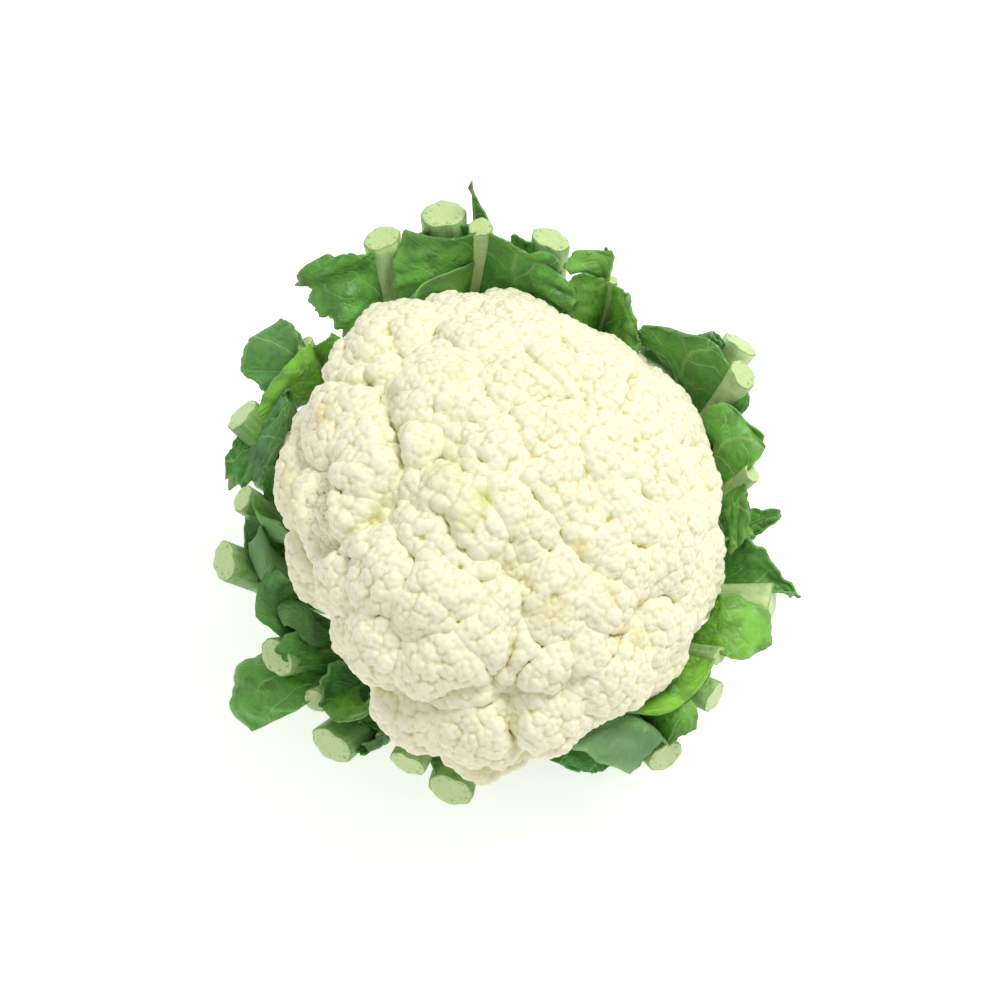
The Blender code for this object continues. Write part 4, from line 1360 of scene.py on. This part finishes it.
def rib_body(leaf, rng, tilt_side, tilt_out):
    """The rib's skin and cut end: points, faces, leaf coordinates, edge shares and slots."""
    shares = RIB_START + (1 - RIB_START) * np.linspace(0, 1, RIB_ROWS) ** 0.9
    middle, along, side, out = rib_frame(leaf, shares)
    length = rib_length(leaf)
    radius = rib_radius(leaf, shares)
    clasp = 1 + 0.75 * smooth_step(0.3, -0.05, shares)
    turn = np.linspace(0, 2 * math.pi, RIB_SIDES, endpoint=False)
    points, uvs, edge = [], [], []
    ridge_phase = rng.uniform(0, 2 * math.pi)
    rough = np.stack((np.cos(turn), np.sin(turn)), 1)
    for row, share in enumerate(shares):
        inner = np.clip(-np.sin(turn), 0, 1)
        groove = 1 - 0.22 * inner**2 - 0.10 * np.exp(-((turn - 1.5 * math.pi) / 0.35) ** 2)
        ridges = 1 + 0.028 * np.cos(9 * turn + ridge_phase) * (1 - inner)
        lumps = np.column_stack((rough, np.full(RIB_SIDES, share * 5)))
        wobble = 1 + 0.055 * ripple(np.random.default_rng(11), lumps, 1.8, 2)
        size = radius[row] * ridges * wobble * groove
        wide = 1.06 * clasp[row] * size * np.cos(turn)
        flat = 0.96 / clasp[row] ** 0.5 * size * np.sin(turn)
        reach = np.outer(wide, side[row]) + np.outer(flat, out[row])
        oblique = smooth_step(0.78, 1.0, share) * (
            tilt_side * np.cos(turn) + tilt_out * np.sin(turn)
        ) * radius[row]
        spot = middle[row] + reach + np.outer(oblique, along[row])
        points.append(spot)
        uvs.append(np.stack((turn * radius[row] / CM, np.full(RIB_SIDES, share * length / CM)), 1))
        edge.append(np.full(RIB_SIDES, np.clip(share, 0, 1)))
    rim = points[-1]
    centre = rim.mean(axis=0)
    height = ripple(rng, rough, 1.3)
    for ring, share in enumerate(CUT_RINGS):
        crown = (0.35 + 0.2 * height * share) * MM * (1 if ring else 0.6)
        points.append(centre + (rim - centre) * share + np.outer(crown, along[-1]))
        flat_place = (rim - centre) * share / CM
        uvs.append(np.stack((flat_place @ side[-1], flat_place @ out[-1]), 1))
        edge.append(np.full(RIB_SIDES, share))
    rings = len(points)
    faces = []
    for ring in range(rings - 1):
        faces += ring_faces(ring * RIB_SIDES, (ring + 1) * RIB_SIDES, RIB_SIDES)
    top = rings * RIB_SIDES
    faces += fan_faces(top - RIB_SIDES, top, RIB_SIDES)
    kinds = [2] * ((RIB_ROWS - 1) * RIB_SIDES)
    kinds += [3] * (len(faces) - len(kinds)) + [2] * RIB_SIDES
    faces += fan_faces(0, top + 1, RIB_SIDES, flipped=True)
    points = np.vstack((*points, centre + along[-1] * 0.4 * MM, middle[0]))
    uvs = np.vstack((*uvs, (0, 0), (0, 0)))
    return points, faces, uvs, np.append(np.concatenate(edge), (0, 0)), kinds


def between(stations, column, shares):
    """A station column at the given shares, eased from station to station."""
    knots = np.array([station[0] for station in stations])
    values = np.array([station[column] for station in stations], dtype=float)
    spot = np.clip(np.searchsorted(knots, shares) - 1, 0, len(knots) - 2)
    ease = np.clip((shares - knots[spot]) / (knots[spot + 1] - knots[spot]), 0, 1)
    slopes = np.gradient(values, knots)
    step = knots[spot + 1] - knots[spot]
    leaving = (2 * ease**3 - 3 * ease**2 + 1) * values[spot]
    leaving += (ease**3 - 2 * ease**2 + ease) * step * slopes[spot]
    arriving = (3 * ease**2 - 2 * ease**3) * values[spot + 1]
    arriving += (ease**3 - ease**2) * step * slopes[spot + 1]
    return leaving + arriving


def round_the_axis(places):
    """Points from azimuths in degrees, radii and heights in mm."""
    azimuth, radius, height = np.radians(places[0]), places[1] * MM, places[2] * MM
    return np.stack((radius * np.cos(azimuth), radius * np.sin(azimuth), height), 1)


def blade_lines(leaf, strip, hand, shares):
    """The lines a wing or blade is stretched over: along the rib, halfway and along its edge."""
    middle, along, side, out = rib_frame(leaf, shares)
    radius = rib_radius(leaf, shares)[:, None]
    root = middle + (side * hand - out) * radius * 0.35
    stations = strip.stations
    if isinstance(strip, Wing):
        width = np.maximum(between(stations, 1, shares), 0.6)[:, None] * MM
        angle = np.radians(between(stations, 2, shares))[:, None]
        reach = (side * hand * np.cos(angle) + out * np.sin(angle)) * width
        return root, root + reach / 2, root + reach, along
    values = [between(stations, column, shares) for column in range(1, 7)]
    return root, round_the_axis(values[:3]), round_the_axis(values[3:]), along


def blade_sheet(leaf, strip, rng):
    """A wing or blade as an open sheet: points, faces, leaf coordinates and edge shares."""
    shares = np.linspace(strip.stations[0][0], strip.stations[-1][0], BLADE_ROWS)
    hand = 1 if strip.side == "ccw" else -1
    root, halfway, edge, along = blade_lines(leaf, strip, hand, shares)
    width = np.linalg.norm(halfway - root, axis=1) + np.linalg.norm(edge - halfway, axis=1)
    paces = np.linalg.norm(np.diff(halfway, axis=0), axis=1)
    height = shares[0] * rib_length(leaf) + np.concatenate(((0,), np.cumsum(paces)))
    row_place = np.column_stack((height / CM, np.zeros(BLADE_ROWS)))
    torn = strip.ragged * MM * ripple(rng, row_place, 0.9, 4) / np.maximum(width, 4 * MM)
    across = np.linspace(0, 1, BLADE_COLUMNS)
    share = (across * (1 + torn)[:, None])[:, :, None]
    points = (
        root[:, None] * (1 - share) * (1 - 2 * share)
        + halfway[:, None] * 4 * share * (1 - share)
        + edge[:, None] * share * (2 * share - 1)
    )
    steps = np.diff(points, axis=1)
    loose = max(0.3, 0.7 - strip.roll / 600)
    turn = hand * math.radians(strip.roll) * smooth_step(loose, 1.0, across[1:])[:, None]
    axis = along[:, None]
    lengthwise = axis * np.sum(steps * axis, axis=2, keepdims=True)
    steps = lengthwise + (steps - lengthwise) * np.cos(turn) + np.cross(axis, steps) * np.sin(turn)
    points[:, 1:] = points[:, :1] + np.cumsum(steps, axis=1)
    cells = np.stack(np.meshgrid(height / CM, across * 2, indexing="ij"), -1).reshape(-1, 2)
    crumple = ripple(rng, cells, 1.9, 3).reshape(BLADE_ROWS, BLADE_COLUMNS)
    wave = ripple(rng, row_place, 1.5, 2)[:, None]
    normal = unit(np.cross(np.gradient(points, axis=0), np.gradient(points, axis=1)))
    lift = strip.ruffle * MM * (0.7 * crumple * across**0.7 + 0.9 * wave * across**2)
    teeth = ripple(rng, np.column_stack((across * 3, across * 0)), 1.0, 3) * strip.ragged * MM
    last_rows = smooth_step(BLADE_ROWS * 0.8, BLADE_ROWS - 1, np.arange(BLADE_ROWS))
    points += normal * lift[:, :, None]
    points += along[:, None] * (last_rows[:, None] * teeth * across**0.5)[:, :, None]
    uvs = np.empty((BLADE_ROWS, BLADE_COLUMNS, 2))
    uvs[..., 0] = hand * (across - getattr(strip, "vein", 0)) * width[:, None] / CM
    uvs[..., 1] = (height[:, None] + 0 * across) / CM
    faces = []
    for row in range(BLADE_ROWS - 1):
        for column in range(BLADE_COLUMNS - 1):
            a = row * BLADE_COLUMNS + column
            b = a + BLADE_COLUMNS
            faces.append((a, b, b + 1, a + 1) if hand > 0 else (a, a + 1, b + 1, b))
    return points.reshape(-1, 3), faces, uvs.reshape(-1, 2), np.tile(across, BLADE_ROWS)


def finish_leaf_mesh(mesh, uvs, edge, tone, bloom=0.0, kinds=None):
    layer = mesh.uv_layers.new(name="leaf")
    corners = np.empty(len(mesh.loops), dtype=np.int64)
    mesh.loops.foreach_get("vertex_index", corners)
    layer.data.foreach_set("uv", np.asarray(uvs, dtype=np.float32)[corners].ravel())
    float_attribute(mesh, "edge", edge)
    float_attribute(mesh, "tone", np.full(len(mesh.vertices), tone))
    float_attribute(mesh, "bloom", np.full(len(mesh.vertices), bloom))
    if kinds is not None:
        mesh.polygons.foreach_set("material_index", np.asarray(kinds, dtype=np.int32))
    mesh.shade_smooth()


def thick_sheet(name, sheet, tone, bloom, thickness):
    """A wing or blade with its wall: inner face, waxy back and rim each get their slot."""
    points, faces, uvs, edge = sheet
    mesh = mesh_of(name, points, faces)
    finish_leaf_mesh(mesh, uvs, edge, tone, bloom)
    for material in leaf_materials():
        mesh.materials.append(material)
    sheet = add_object(name, mesh)
    wall = sheet.modifiers.new("wall", "SOLIDIFY")
    wall.thickness = thickness
    wall.offset = 0
    wall.use_even_offset = False
    wall.material_offset = 1
    wall.material_offset_rim = 0
    bake_modifiers(sheet)
    return sheet


def join_pieces(name, objects):
    """One mesh object out of several, the first one's place and slots kept."""
    with bpy.context.temp_override(
        active_object=objects[0], selected_editable_objects=objects, selected_objects=objects
    ):
        bpy.ops.object.join()
    joined = objects[0]
    joined.name = name
    joined.data.name = name
    return joined


def grow_leaf(name, number):
    leaf = LEAVES[name]
    settings = look("cauliflower_leaves")
    rng = np.random.default_rng(settings.seed * 100 + number)
    tilt_side, tilt_out = rng.uniform(-0.25, 0.25), rng.uniform(-0.35, 0.15)
    points, faces, uvs, edge, kinds = rib_body(leaf, rng, tilt_side, tilt_out)
    mesh = mesh_of(name + "_rib", points, faces)
    finish_leaf_mesh(mesh, uvs, edge, leaf.tone, kinds=kinds)
    for material in leaf_materials():
        mesh.materials.append(material)
    objects = [add_object(name + "_rib", mesh)]
    for strip in (*WINGS.get(name, ()), *BLADES.get(name, ())):
        tone, bloom = getattr(strip, "tone", WING_TONE), getattr(strip, "bloom", 0.2)
        sheet = blade_sheet(leaf, strip, rng)
        objects.append(
            thick_sheet(name + "_blade", sheet, tone, bloom, settings.blade_thickness)
        )
    kind, _, place = name.partition("_leaf_")
    grown = join_pieces(f"{kind}_leaf_grown_{place}", objects)
    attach(grown, "root")
    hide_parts(name)


def grow_whorl(whorl):
    for number, name in enumerate(LEAVES):
        if LEAVES[name].whorl == whorl:
            grow_leaf(name, number)
    return {"FINISHED"}


class CAULIFLOWER_OT_outer_leaves(bpy.types.Operator):
    """Grow the outer whorl of thick cut leaves"""

    bl_idname = "cauliflower.outer_leaves"
    bl_label = "Outer Leaves"

    def execute(self, context):
        return grow_whorl("outer")


class CAULIFLOWER_OT_middle_leaves(bpy.types.Operator):
    """Grow the middle whorl of cut leaves"""

    bl_idname = "cauliflower.middle_leaves"
    bl_label = "Middle Leaves"

    def execute(self, context):
        return grow_whorl("middle")


class CAULIFLOWER_OT_inner_leaves(bpy.types.Operator):
    """Grow the inner whorl of thin leaves that lie against the curd"""

    bl_idname = "cauliflower.inner_leaves"
    bl_label = "Inner Leaves"

    def execute(self, context):
        return grow_whorl("inner")


# ---------------------------------------------------------------- stage

CAMERA_ELEVATION = math.radians(68)
CAMERA_DISTANCE = 1.0
CAMERA_AIM = 62 * MM
CAMERA_RAISE = 10.2 * MM
CAMERA_SIDE = 0.7 * MM
LENS = 105
SENSOR = 36


def aimed(obj, place, target):
    obj.location = place
    obj.rotation_euler = (Vector(target) - Vector(place)).to_track_quat("-Z", "Y").to_euler()


def area_light(name, place, target, size, power, colour):
    lamp = bpy.data.lights.new(name, "AREA")
    lamp.shape = "DISK"
    lamp.size = size
    lamp.energy = power
    lamp.color = colour
    obj = bpy.data.objects.new(name, lamp)
    bpy.context.scene.collection.objects.link(obj)
    aimed(obj, place, target)


class CAULIFLOWER_OT_stage(bpy.types.Operator):
    """Set the pale floor, the soft studio light and the camera"""

    bl_idname = "cauliflower.stage"
    bl_label = "Stage"

    def execute(self, context):
        settings = look("cauliflower_stage")
        scene = context.scene
        size = 3.0
        floor = add_object(
            "floor",
            mesh_of(
                "floor",
                [(-size, -size, 0), (size, -size, 0), (size, size, 0), (-size, size, 0)],
                [(0, 1, 2, 3)],
            ),
        )
        material, nodes, shader = new_material("floor_paper")
        place = nodes.add("ShaderNodeTexCoord").outputs["Object"]
        white = (*settings.floor_colour, 1)
        soft = tuple(0.985 * part for part in settings.floor_colour)
        nodes.feed(
            shader.inputs["Base Color"], nodes.blend(nodes.noise(place, 4.0), white, (*soft, 1))
        )
        shader.inputs["Roughness"].default_value = 0.9
        shader.inputs["Specular IOR Level"].default_value = 0.1
        shader.inputs["Emission Color"].default_value = (1, 1, 1, 1)
        shader.inputs["Emission Strength"].default_value = settings.floor_glow
        floor.data.materials.append(material)
        world = bpy.data.worlds.new("studio")
        scene.world = world
        world.use_nodes = True
        ground = world.node_tree.nodes["Background"]
        ground.inputs["Color"].default_value = (1, 1, 1, 1)
        ground.inputs["Strength"].default_value = settings.sky
        middle = (0, 0, 60 * MM)
        warm = (1.0, 0.99, 0.96)
        area_light("key", (0.5, 0.42, 1.1), middle, 0.55, settings.key, warm)
        area_light("fill", (-0.9, -0.7, 0.9), middle, 1.2, settings.fill, (1, 1, 1))
        back = Vector((0, -math.cos(CAMERA_ELEVATION), math.sin(CAMERA_ELEVATION)))
        upward = Vector((0, math.sin(CAMERA_ELEVATION), math.cos(CAMERA_ELEVATION)))
        aim = Vector((CAMERA_SIDE, 0, CAMERA_AIM)) + upward * CAMERA_RAISE
        eye = bpy.data.cameras.new("camera")
        eye.lens = LENS
        eye.sensor_width = SENSOR
        eye.clip_start = 0.05
        camera = bpy.data.objects.new("camera", eye)
        scene.collection.objects.link(camera)
        aimed(camera, aim + back * CAMERA_DISTANCE, aim)
        scene.camera = camera
        scene.view_settings.view_transform = "Standard"
        return {"FINISHED"}


# ---------------------------------------------------------------- settings and panel


def length_setting(name, about, default):
    return FloatProperty(
        name=name, description=about, default=default, min=0, unit="LENGTH", precision=4
    )


def power_setting(name, about, default):
    return FloatProperty(name=name, description=about, default=default, min=0, unit="POWER")


def colour_setting(name, about, default):
    return FloatVectorProperty(
        name=name, description=about, default=default, subtype="COLOR", min=0, max=1
    )


class CurdSettings(bpy.types.PropertyGroup):
    seed: IntProperty(name="Seed", description="Changes where beads lie", default=3)
    grid: IntProperty(name="Grid", description="Squares along the curd's net", default=270)
    cluster_spacing: length_setting("Cluster Spacing", "Least distance between clusters", 0.0115)
    cluster_height: length_setting("Cluster Height", "How far clusters swell out", 0.0018)
    bud_spacing: length_setting("Bud Spacing", "Least distance between buds", 0.0050)
    bud_height: length_setting("Bud Height", "How far buds swell out", 0.0013)
    bead_spacing: length_setting("Bead Spacing", "Least distance between beads", 0.0022)
    bead_height: length_setting("Bead Height", "How far beads swell out", 0.0006)
    colour: colour_setting("Colour", "The beads' cream", (0.86, 0.85, 0.635))
    warm_colour: colour_setting("Warm Colour", "Warmer patches of the curd", (0.85, 0.82, 0.58))
    # The crease colour is painted shade in the hollows between beads, partly the curd's own olive
    # tint.
    crease_shade_colour: colour_setting("Crease Colour", "Tint between beads", (0.56, 0.49, 0.15))
    branch_colour: colour_setting("Branch Colour", "Branches under the curd", (0.62, 0.68, 0.40))


class LeafSettings(bpy.types.PropertyGroup):
    seed: IntProperty(name="Seed", description="Changes ruffles, ragged edges and cuts", default=5)
    blade_thickness: length_setting("Blade Thickness", "Wall of the blades", 0.0008)
    young_colour: colour_setting("Young Blade", "Inner face of a young leaf", (0.21, 0.50, 0.045))
    mature_colour: colour_setting("Mature Blade", "Inner face of an old leaf", (0.058, 0.24, 0.036))
    young_back: colour_setting("Young Back", "Waxy outer face of a young leaf", (0.21, 0.45, 0.10))
    mature_back: colour_setting("Mature Back", "Waxy outer face of an old leaf", (0.06, 0.20, 0.05))
    wax_colour: colour_setting("Wax", "Pale bloom on leaves and ribs", (0.20, 0.36, 0.17))
    vein_colour: colour_setting("Veins", "Pale veins and cut edges", (0.28, 0.48, 0.16))
    rib_colour: colour_setting("Rib", "Skin of a pale rib", (0.62, 0.79, 0.38))
    rib_dark: colour_setting("Rib Shade", "Skin of a dark rib", (0.09, 0.29, 0.03))
    rib_pale: colour_setting("Rib Light", "Pale streaks of the ribs", (0.60, 0.75, 0.36))
    cut_colour: colour_setting("Cut", "Flesh of a rib's cut end", (0.47, 0.64, 0.26))
    stalk_cut_colour: colour_setting("Stalk Cut", "Flesh of the stalk's foot", (0.72, 0.74, 0.50))


class StageSettings(bpy.types.PropertyGroup):
    floor_colour: colour_setting("Floor", "The floor's paint", (0.97, 0.97, 0.97))
    floor_glow: FloatProperty(name="Floor Glow", description="Light the floor gives", default=0.47)
    sky: FloatProperty(name="Sky", description="Strength of the light from all round", default=0.6)
    key: power_setting("Key", "Power of the key light", 9.5)
    fill: power_setting("Fill", "Power of the fill light", 1.6)


SETTINGS = {
    "cauliflower_curd": CurdSettings,
    "cauliflower_leaves": LeafSettings,
    "cauliflower_stage": StageSettings,
}
OPERATORS = (
    CAULIFLOWER_OT_curd,
    CAULIFLOWER_OT_branches,
    CAULIFLOWER_OT_stalk,
    CAULIFLOWER_OT_outer_leaves,
    CAULIFLOWER_OT_middle_leaves,
    CAULIFLOWER_OT_inner_leaves,
    CAULIFLOWER_OT_stage,
)


class CAULIFLOWER_PT_sidebar(bpy.types.Panel):
    """Lists the cauliflower's settings and the buttons that grow its pieces"""

    bl_idname = "CAULIFLOWER_PT_sidebar"
    bl_label = "Cauliflower Head"
    bl_space_type = "VIEW_3D"
    bl_region_type = "UI"
    bl_category = "Cauliflower"

    def draw(self, context):
        layout = self.layout
        for key, group in SETTINGS.items():
            box = layout.box()
            for name in group.__annotations__:
                box.prop(getattr(context.scene, key), name)
        for operator in OPERATORS:
            layout.operator(operator.bl_idname)


CLASSES = (*SETTINGS.values(), *OPERATORS, CAULIFLOWER_PT_sidebar)


def register():
    for kind in CLASSES:
        bpy.utils.register_class(kind)
    for key, group in SETTINGS.items():
        setattr(bpy.types.Scene, key, PointerProperty(type=group))


def unregister():
    for key in SETTINGS:
        delattr(bpy.types.Scene, key)
    for kind in reversed(CLASSES):
        bpy.utils.unregister_class(kind)


def main():
    register()
    bpy.ops.cauliflower.curd()
    bpy.ops.cauliflower.branches()
    bpy.ops.cauliflower.stalk()
    bpy.ops.cauliflower.outer_leaves()
    bpy.ops.cauliflower.middle_leaves()
    bpy.ops.cauliflower.inner_leaves()
    bpy.ops.cauliflower.stage()


if __name__ == "__main__":
    main()
